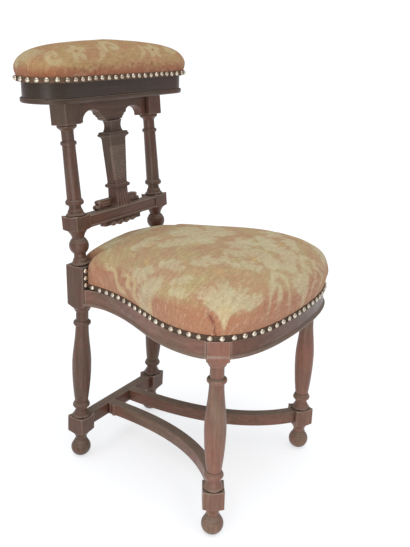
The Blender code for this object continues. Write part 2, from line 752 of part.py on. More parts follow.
def splat_rows(low, high):
    """Half widths and half thicknesses up the splat: flared foot, base ring, taper, cap and neck."""
    foot, head, thick = SPLAT_FOOT, SPLAT_HEAD, SPLAT_HALF_THICK
    base, cap, p = low + SPLAT_BASE, high - SPLAT_CAP, PART
    rows = [(low, foot + SPLAT_FLARE, thick + 1.5 * p), (low + 6 * p, foot + 5.5 * p, thick + p)]
    rows += [(low + 18 * p, foot - 0.6 * p, thick - 0.8 * p), (base - 7 * p, foot - p, thick - 0.8 * p)]
    rows += [(base - 6 * p, foot + 2.5 * p, thick + 2 * p), (base - 2 * p, foot + 3.3 * p, thick + 2.6 * p)]
    rows += [(base + 2 * p, foot + 2 * p, thick + 1.5 * p), (base + 3.5 * p, foot, thick)]
    rows += [(cap - 12 * p, head, thick), (cap - 10.5 * p, head + 2 * p, thick + 2 * p)]
    rows += [(cap - 6 * p, head + 4.8 * p, thick + 4.5 * p), (cap - p, head + 4.8 * p, thick + 4.5 * p)]
    rows += [(cap + 1.5 * p, head + p, thick + 1.5 * p), (cap + 4 * p, head * 0.66, thick - 1.8 * p)]
    rows += [(cap + 12 * p, head * 0.62, thick - 2.2 * p), (high - 6 * p, head * 0.66, thick - 1.8 * p)]
    return rows + [(high, head * 0.76, thick - 1.4 * p)]


def splat(rail, board, board_bottom):
    low, high = back_rail_levels()[1] + FIT, board_bottom - FIT
    corners = ((-1, -1), (1, -1), (1, 1), (-1, 1))
    rings = []
    for z, half_width, half_thick in splat_rows(low, high):
        rings.append([(cx * half_width, cy * half_thick - SPLAT_FORWARD, z) for cx, cy in corners])
    piece = back_piece("back_splat", rings)
    size = Vector((RAIL_TENON.y, SPLAT_HALF_THICK, SPLAT_FOOT))
    turn = BACK_FRAME.to_3x3()
    for z, along, mortised in ((low, -1, rail), (high, 1, board)):
        origin = BACK_FRAME @ Vector((0, -SPLAT_FORWARD, z))
        tenon_joint(piece, mortised, joint_frame(origin, turn @ Vector((0, 0, along)), (1, 0, 0)), size)


def scroll_outline(side, start, low):
    """A small scroll bracket: a round outer end and a hollow back up to the splat's foot."""
    radius = SCROLL_HEIGHT * 0.42
    centre_x = start + SCROLL_LENGTH - radius
    points = [(start, low), (start + SCROLL_LENGTH - radius, low)]
    for i in range(1, 7):
        angle = math.radians(-90 + 30 * i)
        points.append((centre_x + radius * math.cos(angle), low + radius + radius * math.sin(angle)))
    for u in (0.35, 0.7, 1.0):
        rise = 2 * radius + (SCROLL_HEIGHT - 2 * radius) * u * u
        points.append((centre_x - (centre_x - start) * u, low + rise))
    return [(side * x, z) for x, z in points]


def scrolls_and_pendant():
    low, high = back_rail_levels()
    start = SPLAT_FOOT + SPLAT_FLARE + FIT
    front = -SPLAT_FORWARD - SCROLL_THICK / 2
    for side, word in ((-1, "left"), (1, "right")):
        plate(f"scroll_{word}", scroll_outline(side, start, high + FIT), front, SCROLL_THICK)
    top = low - FIT
    steps = 4 * PENDANT_LOBES
    outline = []
    for x in spread(-PENDANT_HALF, PENDANT_HALF, steps):
        share = x / PENDANT_HALF
        swag = 0.62 + 0.38 * math.cos(math.pi * share)
        lobe = 0.75 + 0.25 * abs(math.sin(PENDANT_LOBES * math.pi * (share + 1) / 2))
        outline.append((x, top - PENDANT_DROP * swag * lobe))
    outline += [(PENDANT_HALF, top), (-PENDANT_HALF, top)]
    plate("rail_pendant", outline, -PENDANT_THICK + BACK_RAIL_PANEL, PENDANT_THICK)


# Box rail


def box(posts):
    rings = []
    for up, out in ((0, 0.4), (0.2, 1), (0.6, 1), (0.75, 0.25), (1, 0.12)):
        lip = BOX_LIP * out
        rings.append(stadium(BOX_HALF_LENGTH + lip, BOX_R + lip, BOX_BASE_Z + BOX_BASE_THICK * up))
    base = skin("box_base", rings, walnut())
    for side in (-1, 1):
        foot = raised(BACK_FRAME @ Vector((side * POST_SPREAD, 0, 0)), BOX_BASE_Z)
        frame = joint_frame(foot, (0, 0, 1), (0, 1, 0))
        dowel = rod_rings(frame, POST_DOWEL_R, -TENON_ROOT, POST_DOWEL_LENGTH)
        fuse(posts[side], helper(f"dowel_{side}", dowel))
        socket = rod_rings(frame, POST_DOWEL_R + FIT, -TENON_ROOT, POST_DOWEL_LENGTH + END_GAP)
        cut(base, helper(f"socket_{side}", socket))
    low = BOX_FLOOR + FIT
    inner = BOX_R - BOX_WALL
    section = ((0, low), (0, BOX_TOP), (-BOX_WALL, BOX_TOP), (-BOX_WALL, low))
    rings = [stadium(BOX_HALF_LENGTH + out, BOX_R + out, height) for out, height in section]
    wall = skin("box_wall", rings, walnut(), loop=True)
    for side, word in ((-1, "left"), (1, "right")):
        x = side * DIVIDER_X
        reach = inner - FIT
        corner = (x - DIVIDER_THICK / 2, BOX_Y - reach, low)
        opposite = (x + DIVIDER_THICK / 2, BOX_Y + reach, low + DIVIDER_HEIGHT)
        skin(f"divider_{word}", box_rings(Matrix.Identity(4), corner, opposite), walnut())
    return wall


# Padded lid


def lid_pad_rows():
    """The lid's padded form, as (round end radius, straight share, height above the hem)."""
    hem, swell, rise = LID_HEM_R, LID_PAD_SWELL, LID_PAD_HEIGHT
    rows = [(hem, 1.0, 0), (hem, 1.0, TRIM_HEIGHT), (hem + swell * 0.8, 1.0, rise * 0.27)]
    rows += [(hem + swell, 0.99, rise * 0.42), (hem - swell * 0.3, 0.955, rise * 0.60)]
    rows += [(hem * 0.84, 0.88, rise * 0.76), (hem * 0.62, 0.71, rise * 0.89)]
    return rows + [(hem * 0.32, 0.43, rise * 0.975), (hem * 0.12, 0.18, rise)]


def lid_rings(inset, first=0):
    """Rings of the padded form, drawn in by inset all round."""
    straight = BOX_HALF_LENGTH - BOX_R
    rings = []
    for radius, share, height in lid_pad_rows()[first:]:
        r = max(radius - inset, LID_HEM_R * 0.12 - inset)
        z = LID_HEM_Z + height - (inset if height > LID_PAD_HEIGHT * 0.5 else 0)
        rings.append(stadium(straight * share + r, r, z))
    return rings


def padded_lid():
    pieces = []
    board_r = BOX_R + LID_OVERHANG
    length = BOX_HALF_LENGTH + LID_OVERHANG
    rings = [stadium(length, board_r, z) for z in (LID_BOTTOM, LID_BOTTOM + LID_BOARD_THICK)]
    board = skin("lid_board", rings, walnut())
    pieces.append(board)
    cover = list(reversed(lid_rings(COVER_THICK))) + lid_rings(0)
    pieces.append(smooth(skin("lid_cover", cover, tapestry()), 60))
    pad_bottom = LID_BOTTOM + LID_BOARD_THICK + FIT
    pad = [ring for ring in lid_rings(COVER_THICK + FIT) if ring[0][2] > pad_bottom + COVER_THICK]
    pad.insert(0, stadium(length, board_r, pad_bottom))
    pieces.append(skin("lid_stuffing", pad, horsehair()))
    low, high = LID_HEM_Z, LID_HEM_Z + TRIM_HEIGHT
    straight = BOX_HALF_LENGTH - BOX_R
    section = ((FIT, low), (FIT + TRIM_THICK, low), (FIT + TRIM_THICK, high), (FIT, high))
    rings = [stadium(straight + LID_HEM_R + out, LID_HEM_R + out, z) for out, z in section]
    pieces.append(skin("lid_braid", rings, braid(), loop=True))
    return board, pieces


# Hinges


def screw(name, frame, leaf, wood):
    """A countersunk screw that runs down the frame's X axis, with its hole in the leaf and in the wood."""
    profile = ((0, SCREW_HEAD_R), (SCREW_HEAD, SCREW_R), (SCREW_LENGTH, SCREW_R))
    rings = [rod_rings(frame, radius, depth, depth)[0] for depth, radius in profile]
    piece = skin(name, rings, brass())
    wider = [(depth, radius + FIT) for depth, radius in profile]
    wider = [(-LEAF_THICK, wider[0][1] + FIT)] + wider[:-1] + [(SCREW_LENGTH + END_GAP, SCREW_R + FIT)]
    wider[1] = (FIT, wider[1][1] + FIT)
    wider[2] = (SCREW_HEAD + 2 * FIT, wider[2][1])
    hole = helper(f"hole_{name}", [rod_rings(frame, radius, depth, depth)[0] for depth, radius in wider])
    cut(leaf, hole)
    cut(wood, hole)
    return piece


def knuckles(leaf, axis, x, spans):
    for low, high in spans:
        fuse(leaf, helper(f"knuckle_{leaf.name}_{low:.4f}", rod_rings(axis, BARREL_R, x + low, x + high)))
    bore = rod_rings(axis, PIN_R + FIT, x - LEAF_WIDTH, x + LEAF_WIDTH)
    cut(leaf, helper(f"bore_{leaf.name}", bore))


def hinge_box_leaf(word, x, axis, wall):
    """The leaf let into the back of the box, with a knuckle at each end."""
    world = Matrix.Identity(4)
    half, third = LEAF_WIDTH / 2, LEAF_WIDTH / 3
    face = BOX_Y + BOX_R
    low = (x - half, face - LEAF_THICK, HINGE_Z - LEAF_LENGTH)
    leaf = skin(f"hinge_{word}_box_leaf", box_rings(world, low, (x + half, face, HINGE_Z)), brass())
    ends = ((-half, -half + third - FIT), (half - third + FIT, half))
    for i, (start, end) in enumerate(ends):
        arm = (x + start, face - LEAF_THICK, HINGE_Z - BARREL_R), (x + end, HINGE_Y, HINGE_Z)
        fuse(leaf, helper(f"arm_{word}_{i}", box_rings(world, *arm)))
    knuckles(leaf, axis, x, ends)
    seat = [value - FIT for value in low], (x + half + FIT, face + STOCK, LID_BOTTOM)
    cut(wall, helper(f"wall_seat_{word}", box_rings(world, *seat)))
    return leaf


def hinge_lid_leaf(word, x, axis, board):
    """The leaf let into the underside of the lid, with one knuckle in the middle."""
    world = Matrix.Identity(4)
    half, third = LEAF_WIDTH / 2, LEAF_WIDTH / 3
    edge = HINGE_Y + BARREL_R * 0.6
    front = HINGE_Y - LEAF_LENGTH
    top = LID_BOTTOM + LEAF_THICK
    flat = box_rings(world, (x - half, front, LID_BOTTOM), (x + half, edge, top))
    leaf = skin(f"hinge_{word}_lid_leaf", flat, brass())
    start, end = -half + third, half - third
    arm = (x + start, HINGE_Y, HINGE_Z), (x + end, edge, LID_BOTTOM + LEAF_THICK / 2)
    fuse(leaf, helper(f"lid_arm_{word}", box_rings(world, *arm)))
    knuckles(leaf, axis, x, ((start, end),))
    seat = (x - half - FIT, front - FIT, LID_BOTTOM - STOCK), (x + half + FIT, HINGE_Y + STOCK, top + FIT)
    cut(board, helper(f"lid_seat_{word}", box_rings(world, *seat)))
    return leaf


def hinge(word, x, wall, board):
    """One brass butt hinge with its pin and screws. Returns the pieces that move with the lid."""
    axis = Matrix.Translation((0, HINGE_Y, HINGE_Z))
    box_leaf = hinge_box_leaf(word, x, axis, wall)
    lid_leaf = hinge_lid_leaf(word, x, axis, board)
    pin = rod_rings(axis, PIN_R, x - LEAF_WIDTH / 2, x + LEAF_WIDTH / 2)
    smooth(skin(f"hinge_{word}_pin", pin, brass()))
    depth = LEAF_LENGTH * 0.6
    moving = [lid_leaf]
    for i, offset in enumerate((-SCREW_X, SCREW_X)):
        place = Vector((x + offset, BOX_Y + BOX_R, HINGE_Z - depth))
        screw(f"hinge_{word}_box_screw_{i + 1}", joint_frame(place, (0, -1, 0), (0, 0, 1)), box_leaf, wall)
        place = Vector((x + offset, HINGE_Y - depth, LID_BOTTOM))
        frame = joint_frame(place, (0, 0, 1), (0, 1, 0))
        moving.append(screw(f"hinge_{word}_lid_screw_{i + 1}", frame, lid_leaf, board))
    return moving


# Seat upholstery


def pad_edge():
    """Points round the seat pad: the seat's curve, then the notches round the posts and the rear edge."""
    half = []
    for u in seat_stations(0, HEM_END):
        place, normal = seat_curve(u)
        half.append(Edge(place, normal, HEM_Z, min(1, 4 * (POST_FRONT - place.y) / SEAT_DEPTH)))
    raised_hem = RAIL_TOP + FIT * 2
    front_y = POST_FRONT - FIT
    inner_x = POST_SPREAD - HALF - FIT
    rear_y = POST_Y + REAR_RAIL_THICK / 2 + REBATE + HEM_GAP
    notch = [(SEAT_HALF_REAR, front_y, HEM_Z), (SEAT_HALF_REAR - COVER_THICK, front_y, raised_hem)]
    notch += [(inner_x, front_y, raised_hem), (inner_x, rear_y - COVER_THICK, raised_hem)]
    notch += [(inner_x * share, rear_y, HEM_Z) for share in (1, 0.67, 0.33, 0)]
    for x, y, hem in notch:
        half.append(Edge(Vector((x, y)), Vector((1, 0)), hem, 0))
    flip = Vector((-1, 1))
    mirrored = [edge._replace(place=edge.place * flip, normal=edge.normal * flip) for edge in half]
    return half + mirrored[-2:0:-1]


def pad_rows():
    """Rows up the pad: the share drawn in to its middle, the share of the swell and of the crown."""
    side = [(0, 0, 0), (0, 0, BAND_SHARE), (0, 0.8, 0.275), (0.004, 1, 0.43), (0.022, 0.7, 0.59)]
    top = [(0.075, 0, 0.725), (0.18, 0, 0.835), (0.38, 0, 0.925), (0.64, 0, 0.98), (0.88, 0, 1)]
    return side + top


def pad_share(place):
    """The pad's height at a place, as a share of its full height: it is pulled down beside the posts."""
    distance = (Vector((abs(place.x), place.y)) - Vector((POST_SPREAD, POST_Y))).length
    return 1 - (1 - SEAT_REAR_SHARE) * math.exp(-((distance / SEAT_REAR_RISE) ** 2))


def pad_rings(edges):
    """Rings of the crowned pad, from its hem to its middle."""
    band = HEM_Z + TRIM_HEIGHT
    rings = []
    for row, (inset, swell, rise) in enumerate(pad_rows()):
        ring = []
        for edge in edges:
            place = edge.place.lerp(PAD_CENTRE, inset) + edge.normal * (SEAT_SWELL * swell * edge.swell)
            top = HEM_Z + SEAT_CROWN * pad_share(place)
            z = HEM_Z + TRIM_HEIGHT * rise / BAND_SHARE
            if rise > BAND_SHARE:
                z = band + (top - band) * (rise - BAND_SHARE) / (1 - BAND_SHARE)
            ring.append(Vector((*place, max(z, edge.hem + HEM_STEP * row))))
        rings.append(ring)
    return rings


def drawn_in(rings, distance):
    """The same rings moved inwards along the normals of the surface that they span."""
    bm = bmesh.new()
    rows = [[bm.verts.new(point) for point in ring] for ring in rings]
    bridge(bm, zip(rows, rows[1:]))
    bm.normal_update()
    moved = [[vert.co - vert.normal * distance for vert in row] for row in rows]
    bm.free()
    return moved


def seat_pad():
    """The cover, the canvas over the springs and the stuffing between them."""
    edges = pad_edge()
    outer = pad_rings(edges)
    inner = drawn_in(outer, COVER_THICK)
    smooth(skin("seat_cover", inner[::-1] + outer, tapestry()), 60)
    canvas_z = RAIL_TOP + FIT
    canvas_rows = ((0.04, 0), (0.22, CANVAS_LIFT), (0.80, CANVAS_LIFT))
    lower = flat_rings(edges, canvas_rows, canvas_z)
    upper = flat_rings(edges, canvas_rows, canvas_z + CANVAS_THICK)
    skin("spring_canvas", lower[::-1] + upper, jute())
    under = flat_rings(edges, canvas_rows, canvas_z + CANVAS_THICK + FIT)
    over = drawn_in(outer, COVER_THICK + WADDING_GAP)[4:]
    skin("seat_stuffing", under[::-1] + over, horsehair())


def flat_rings(edges, rows, z):
    """Rings of rows of (share drawn in to the middle, lift) over a level."""
    return [[(*edge.place.lerp(PAD_CENTRE, inset), z + lift) for edge in edges] for inset, lift in rows]


def seat_braid():
    """The nailed braid round the hem of the seat cover, from post to post."""
    section = ((FIT, HEM_Z), (FIT + TRIM_THICK, HEM_Z))
    section += ((FIT + TRIM_THICK, HEM_Z + TRIM_HEIGHT), (FIT, HEM_Z + TRIM_HEIGHT))
    stations = [seat_curve(u) for u in seat_stations(-HEM_END, HEM_END)]
    skin("seat_braid", swept(stations, section), braid())


def curve_half_width(y):
    """Half the seat's width at a distance behind its front, found by halving."""
    low, high = 0.0, 2.0
    for _ in range(40):
        middle = (low + high) / 2
        if seat_curve(middle)[0].y < y:
            low = middle
        else:
            high = middle
    return seat_curve(low)[0].x


def curve_front(x):
    """The front edge of the seat at a distance from its middle, found by halving."""
    low, high = 0.0, 1.0
    for _ in range(40):
        middle = (low + high) / 2
        if seat_curve(middle)[0].x < x:
            low = middle
        else:
            high = middle
    return seat_curve(low)[0].y


def strap(name, points, across):
    """A flat strap that follows points, wide along across."""
    rings = []
    for point in points:
        low, high = point - across * WEB_WIDTH / 2, point + across * WEB_WIDTH / 2
        up = Vector((0, 0, WEB_THICK))
        rings.append([low, high, high + up, low + up])
    skin(name, rings, jute())


def webbing():
    """Three straps each way under the rails, woven over and under each other."""
    level = RAIL_BOTTOM - FIT - WEB_THICK
    lap = WEB_THICK + FIT
    margin = RAIL_THICK * WEB_MARGIN
    for i, x in enumerate(WEB_X):
        front, rear = curve_front(abs(x)) + margin, POST_Y + REAR_RAIL_THICK / 2 - FIT
        points = [Vector((x, front, level)), Vector((x, rear, level))]
        strap(f"web_length_{i + 1}", points, Vector((1, 0, 0)))
    for i, forward in enumerate(WEB_FORWARD):
        y = POST_Y - forward
        narrow = min(curve_half_width(y - WEB_WIDTH / 2), curve_half_width(y + WEB_WIDTH / 2))
        end = narrow - margin
        points = [Vector((-end, y, level)), Vector((-narrow + RAIL_THICK, y, level))]
        for j, x in enumerate(WEB_X):
            over = 1 if (i + j) % 2 == 0 else -1
            reach = WEB_WIDTH / 2 + 2 * FIT
            points += [Vector((x + s * reach, y, level + over * lap)) for s in (-1, 1)]
        points += [Vector((narrow - RAIL_THICK, y, level)), Vector((end, y, level))]
        ordered = sorted(points, key=lambda point: point.x)
        strap(f"web_cross_{i + 1}", ordered, Vector((0, 1, 0)))


def spring_points(x, y, low, high):
    points = []
    count = SPRING_CURLS * POINTS_A_CURL
    for i in range(count + 1):
        share = i / count
        angle = 2 * math.pi * SPRING_CURLS * share
        radius = SPRING_R + (SPRING_WAIST_R - SPRING_R) * math.sin(math.pi * share)
        turn = Vector((math.cos(angle), math.sin(angle), 0))
        points.append(Vector((x, y, low + (high - low) * share)) + turn * radius)
    return points


def least_gap(points, diameter, skip):
    """The least clear distance of a wound tube to itself, leaving out points less than a curl apart."""
    pairs = ((a, b) for i, a in enumerate(points) for b in points[i + skip :])
    return min((a - b).length for a, b in pairs) - diameter


def springs():
    """Waisted coil springs on the crossings of the webbing, under the canvas."""
    low = RAIL_BOTTOM + WEB_THICK + 2 * FIT + SPRING_WIRE / 2
    high = RAIL_TOP + FIT + CANVAS_LIFT - FIT - SPRING_WIRE / 2
    crossings = [(x, f) for i, f in enumerate(WEB_FORWARD) for j, x in enumerate(WEB_X) if (i + j) % 2 == 0]
    for number, (x, forward) in enumerate(crossings):
        points = spring_points(x, POST_Y - forward, low, high)
        curve = bpy.data.curves.new(f"seat_spring_{number + 1}", "CURVE")
        curve.dimensions = "3D"
        curve.bevel_depth = SPRING_WIRE / 2
        curve.bevel_resolution = 1
        curve.use_fill_caps = True
        spline = curve.splines.new("POLY")
        spline.points.add(len(points) - 1)
        for node, point in zip(spline.points, points):
            node.co = (*point, 1)
        curve.materials.append(spring_steel())
        obj = bpy.data.objects.new(f"seat_spring_{number + 1}", curve)
        bpy.context.scene.collection.objects.link(obj)
        gap = least_gap(points, SPRING_WIRE, POINTS_A_CURL - 1)
        print(f"{obj.name}: least gap between curls {gap * 1000:.1f} mm")


# Assembly


def ride_on(empty, pieces):
    for piece in pieces:
        piece.parent = empty
        piece.matrix_parent_inverse = empty.matrix_world.inverted()


def main():
    for obj in list(bpy.data.objects):
        bpy.data.objects.remove(obj)
    sides = ((-1, "left"), (1, "right"))
    posts = {side: rear_post(f"rear_post_{word}", side) for side, word in sides}
    legs = {side: front_leg(f"front_leg_{word}", side) for side, word in sides}
    seat_frame(posts, legs)
    stretchers(posts, legs)
    rail = lower_back_rail(posts)
    board, board_bottom = apron(posts)
    splat(rail, board, board_bottom)
    scrolls_and_pendant()
    wall = box(posts)
    lid_board, moving = padded_lid()
    for side, word in sides:
        moving += hinge(word, side * HINGE_X, wall, lid_board)
    seat_pad()
    seat_braid()
    webbing()
    springs()
    axis = bpy.data.objects.new("lid_hinge_axis", None)
    axis.location = (0, HINGE_Y, HINGE_Z)
    bpy.context.scene.collection.objects.link(axis)
    bpy.context.view_layer.update()
    ride_on(axis, moving)


main()
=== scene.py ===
"""The looks of a smoking chair: turned walnut, a needlepoint seat and a padded box rail.

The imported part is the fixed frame, and each piece here stands where its node stands. Metres, +Z up,
front of the chair towards -Y. "Left" is the -X side.
"""

import math
from contextlib import contextmanager

import bpy
import numpy as np
from mathutils import Matrix, Vector


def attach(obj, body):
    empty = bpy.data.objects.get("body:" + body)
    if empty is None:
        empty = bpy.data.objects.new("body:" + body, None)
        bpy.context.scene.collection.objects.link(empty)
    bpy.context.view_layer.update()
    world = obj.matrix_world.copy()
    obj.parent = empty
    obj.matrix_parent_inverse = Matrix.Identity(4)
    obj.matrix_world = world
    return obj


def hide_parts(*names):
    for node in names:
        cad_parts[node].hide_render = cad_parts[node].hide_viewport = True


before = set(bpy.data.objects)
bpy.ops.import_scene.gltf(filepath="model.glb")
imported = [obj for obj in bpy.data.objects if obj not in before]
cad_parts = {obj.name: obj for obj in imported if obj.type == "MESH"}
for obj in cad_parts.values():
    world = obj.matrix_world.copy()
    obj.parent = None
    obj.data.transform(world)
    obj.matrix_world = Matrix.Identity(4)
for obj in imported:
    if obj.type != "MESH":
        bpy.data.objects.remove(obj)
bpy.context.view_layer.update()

# Set-out of the chair, as in the part
FIT = 0.0003
PART = 0.001  # the turner's unit
HALF = 0.0205  # half the square of the legs and posts
POST_SPREAD = 0.1292
LEG_RAKE = math.radians(3.2)
BACK_RAKE = math.radians(5.04)
SEAT_DEPTH = 0.4325
SEAT_HALF_WIDTH = 0.2165
WIDEST_FORWARD = 0.322
CORNER_FORWARD = 0.406
FRONT_BOW = 0.138
SIDE_SWEEP = 0.215
WAIST_FORWARD = 0.165
SEAT_HALF_REAR = 0.1365
LEG_PLACE = 0.74
LEG_PROUD = 0.002
HEM_END = 1.99

# Seat rails
RAIL_BOTTOM = 0.372
RAIL_TOP = 0.436
WOOD_TOP = 0.4065
RAIL_THICK = 0.024
RAIL_BEAD = 0.004
RAIL_BEAD_HEIGHT = 0.0070
REAR_RAIL_THICK = 0.020
REBATE = 0.0028
RAIL_FLARE = 0.0105

# Turned leg, heights above the floor
FOOT_R = 0.0216
FOOT_FLAT_R = 0.007
FOOT_COLLAR_R = 0.0128
FOOT_BLOCK = (0.062, 0.100)
HORN = 0.003
LOW_RING = (0.1288, 0.0078)
HIGH_RING = (0.3249, 0.0056)
RING_FILLET = 0.004
SHOULDER_Z = RAIL_BOTTOM - 0.0045
RING_R = 0.0185
NECK_R = 0.0122
BALUSTER_R = 0.0204
BALUSTER_END_R = 0.0138
BALUSTER_PEAK = 0.50

# Back posts, distances up the rake from the seat block
SEAT_BLOCK_TOP = 0.453
SEAT_BLOCK_HALF_DEPTH = 0.0225
BACK_BALL = (0.0394, 0.020)
LOW_BLOCK = (0.0712, 0.0995)
LOW_COLUMN_RING = (0.1271, 0.0058)
HIGH_COLUMN_RING = (0.2426, 0.0042)
HIGH_COLUMN_RING_R = 0.016
COLUMN_FOOT_R = 0.0146
COLUMN_HEAD_R = 0.013
BACK_NECK_R = 0.0122
TOP_BLOCK = 0.2775
BOX_BASE_Z = 0.7735

# Back rail, splat, brackets, pendant and apron
BACK_RAIL_HEIGHT = 0.0245
BACK_RAIL_THICK = 0.027
PANEL_DEPTH = 0.0024
PANEL_MARGINS = (0.0048, 0.0030)
SPLAT_FOOT = 0.0172
SPLAT_HEAD = 0.0242
SPLAT_HALF_THICK = 0.0122
SPLAT_FLARE = 0.0095
SPLAT_BASE = 0.0465
SPLAT_CAP = 0.0235
SPLAT_FORWARD = 0.0045
REEDS = 20
REED_DEPTH = 0.0019
APRON_THICK = 0.020
APRON_DROP = 0.046
ARCH_OUTER = 0.092
ARCH_HEIGHT = 0.0195
ARCH_STEP = 0.003
SCROLL_ENDS = (0.0700, 0.0635)
SCROLL_THICK = 0.0115
PENDANT_HALF = 0.058
PENDANT_THICK = 0.016
PENDANT_LOBES = 4

# Stretchers
STRETCHER_TOP = 0.0985
STRETCHER_HEIGHT = 0.028
REAR_STRETCHER_WIDTH = 0.0245
CURVED_STRETCHER_WIDTH = 0.0225
STRETCHER_MEET = 0.038
STRETCHER_BOW = 0.004
STRETCHER_PULL = (0.45, 0.30)
NIB_ROLLS = ((0.0040, 0.0038), (0.0145, 0.0072))

# Box rail and padded lid
BOX_HALF_LENGTH = 0.217
BOX_R = 0.050
BOX_LIP = 0.004
BOX_BASE_THICK = 0.0095
BOX_FLOOR = BOX_BASE_Z + BOX_BASE_THICK
BOX_WALL = 0.009
BOX_TOP = 0.8105
DIVIDER_X = 0.070
DIVIDER_THICK = 0.006
DIVIDER_HEIGHT = 0.022
LID_BOTTOM = 0.8108
LID_BOARD_THICK = 0.012
LID_OVERHANG = 0.006
LID_HEM_R = 0.0588
LID_HEM_Z = 0.8118
LID_PAD_HEIGHT = 0.0697
LID_PAD_SWELL = 0.0032

# Upholstery
COVER_THICK = 0.0025
TRIM_THICK = 0.0015
TRIM_HEIGHT = 0.010
POST_GIMP_OUT = 0.0066
POST_GIMP_HALF = 0.0052
POST_GIMP_PROUD = 0.0016
POST_GIMP_TOP = 0.4520
HEM_Z = 0.4075
SEAT_CROWN = 0.112
SEAT_SWELL = 0.006
SEAT_REAR_SHARE = 0.80
SEAT_REAR_RISE = 0.055
BAND_SHARE = 0.1
HEM_STEP = 0.0008
HEM_GAP = 0.001
SKIRT_IN = 0.012
CANVAS_THICK = 0.0015
CANVAS_LIFT = 0.016
WEB_THICK = 0.0015
WEB_WIDTH = 0.050
WEB_X = (-0.075, 0.0, 0.075)
WEB_FORWARD = (0.095, 0.195, 0.295)
WEB_MARGIN = 0.35
SPRING_R = 0.025
SPRING_WAIST_R = 0.018
SPRING_WIRE = 0.0035
SPRING_CURLS = 4
NAIL_R = 0.0051
LID_NAIL_R = 0.0048
NAIL_RISE = 0.0036
SEAT_NAIL_PITCH = 0.0201
LID_NAIL_PITCH = 0.0186
POST_NAIL_LEVELS = (0.4165, 0.4320, 0.4470)
STITCH = 0.0024
CLOTH_PRESSURE = 4.0
CLOTH_FRAMES = 20
FLAT_SHARE = 0.8  # how far a drop of the cover reaches once it is laid flat
SEAT_FOLD = ((-0.213, -0.186, 0.458), (-0.205, -0.198, 0.420))
SEAT_FOLD_LINE = ((-0.212, -0.186, 0.458), (-0.203, -0.199, 0.414))

# Hinges
HINGE_X = 0.100
LEAF_HALF = 0.018
LEAF_THICK = 0.0012
LEAF_LENGTH = 0.017

# Colours of the wood
GRAIN_STAINS = (
    (0.26, (0.054, 0.0290, 0.0198)),
    (0.5, (0.084, 0.0455, 0.0315)),
    (0.76, (0.122, 0.0690, 0.0490)),
)
RED_PATCH = (0.132, 0.0490, 0.0330)
OLIVE_PATCH = (0.098, 0.0690, 0.0440)
PORE = (0.018, 0.0090, 0.0065)
# Pale edges: rubbed wear, and painted highlight where edges catch the light
RUBBED_AND_HIGHLIT_EDGE = (0.330, 0.232, 0.176)
# Dark hollows: grime, and painted shade in hollows and where parts meet
HOLLOW_GRIME_AND_SHADE = (0.011, 0.0066, 0.0050)
# Dust, with painted light on what looks up
DUST_AND_TOP_LIGHT = (0.225, 0.185, 0.148)

# Colours of the wool, in pairs where one fades into another
ROSE = ((0.318, 0.130, 0.070), (0.445, 0.222, 0.132))
TAN = ((0.428, 0.260, 0.148), (0.435, 0.338, 0.168))
LEAVES = ((0.430, 0.388, 0.230), (0.630, 0.565, 0.380))
GOLD = (0.580, 0.385, 0.150)
DARK_LINE = (0.185, 0.050, 0.034)
PALE_THREAD = (0.60, 0.49, 0.34)
DARK_THREAD = (0.300, 0.175, 0.105)

# Camera
CAMERA_PLACE = (-1.154, -0.7783, 0.904)
CAMERA_TURN = (-56.82, 19.67, 1.22)  # degrees round, down and over
CAMERA_LENS = 46.98
CAMERA_SHIFT = (0.0152, 0.0227)

# Worked-out places
FRONT_REACH = SEAT_DEPTH + SEAT_SWELL
BOX_OFFSET = math.tan(BACK_RAKE) * (BOX_FLOOR - SEAT_BLOCK_TOP)
POST_Y = (FRONT_REACH - BOX_OFFSET - LID_HEM_R - LID_PAD_SWELL) / 2
BOX_Y = POST_Y + BOX_OFFSET
POST_FRONT = POST_Y - SEAT_BLOCK_HALF_DEPTH
HINGE_Y = BOX_Y + BOX_R + 0.0036
HINGE_Z = LID_BOTTOM - 0.0036
RAIL_REACH = POST_SPREAD - HALF - FIT
REAR_HEM_Y = POST_Y + REAR_RAIL_THICK / 2 + REBATE + HEM_GAP
STRETCHER_BOTTOM = STRETCHER_TOP - STRETCHER_HEIGHT
REAR_STRETCHER_Y = POST_Y + math.tan(LEG_RAKE) * (RAIL_BOTTOM - STRETCHER_TOP + STRETCHER_HEIGHT / 2)
BACK_FRAME = Matrix.Translation((0, POST_Y, SEAT_BLOCK_TOP)) @ Matrix.Rotation(-BACK_RAKE, 4, "X")
PAD_CENTRE = np.array((0, POST_Y - SEAT_DEPTH / 2))
SIDES = ((-1, "left"), (1, "right"))


# Workbench


def only(obj):
    """Leaves obj as the one selected object."""
    bpy.ops.object.select_all(action="DESELECT")
    obj.select_set(True)
    bpy.context.view_layer.objects.active = obj


@contextmanager
def editing(obj, kind="VERT", where=None):
    """Edit mode with all of obj selected, or only the edges that pass where(middle, direction)."""
    only(obj)
    mesh = obj.data
    bpy.context.tool_settings.mesh_select_mode = (kind == "VERT", kind == "EDGE", kind == "FACE")
    if where:
        for parts in (mesh.vertices, mesh.edges, mesh.polygons):
            parts.foreach_set("select", [False] * len(parts))
        for edge in mesh.edges:
            start, end = (mesh.vertices[i].co for i in edge.vertices)
            edge.select = bool(where((start + end) / 2, (end - start).normalized()))
    bpy.ops.object.mode_set(mode="EDIT")
    if not where:
        bpy.ops.mesh.select_all(action="SELECT")
    yield
    bpy.ops.object.mode_set(mode="OBJECT")


def close_up():
    """In edit mode: merges what meets and turns every face outwards."""
    bpy.ops.mesh.select_all(action="SELECT")
    bpy.ops.mesh.remove_doubles(threshold=1e-6)
    bpy.ops.mesh.normals_make_consistent(inside=False)


def pulled(step):
    """In edit mode: draws the selection out by a step."""
    bpy.ops.mesh.extrude_region_move(TRANSFORM_OT_translate={"value": step})


def applied(obj, kind, **settings):
    """Adds a modifier and applies it."""
    only(obj)
    modifier = obj.modifiers.new(kind.lower(), kind)
    for key, value in settings.items():
        setattr(modifier, key, value)
    bpy.ops.object.modifier_apply(modifier=modifier.name)
    return obj


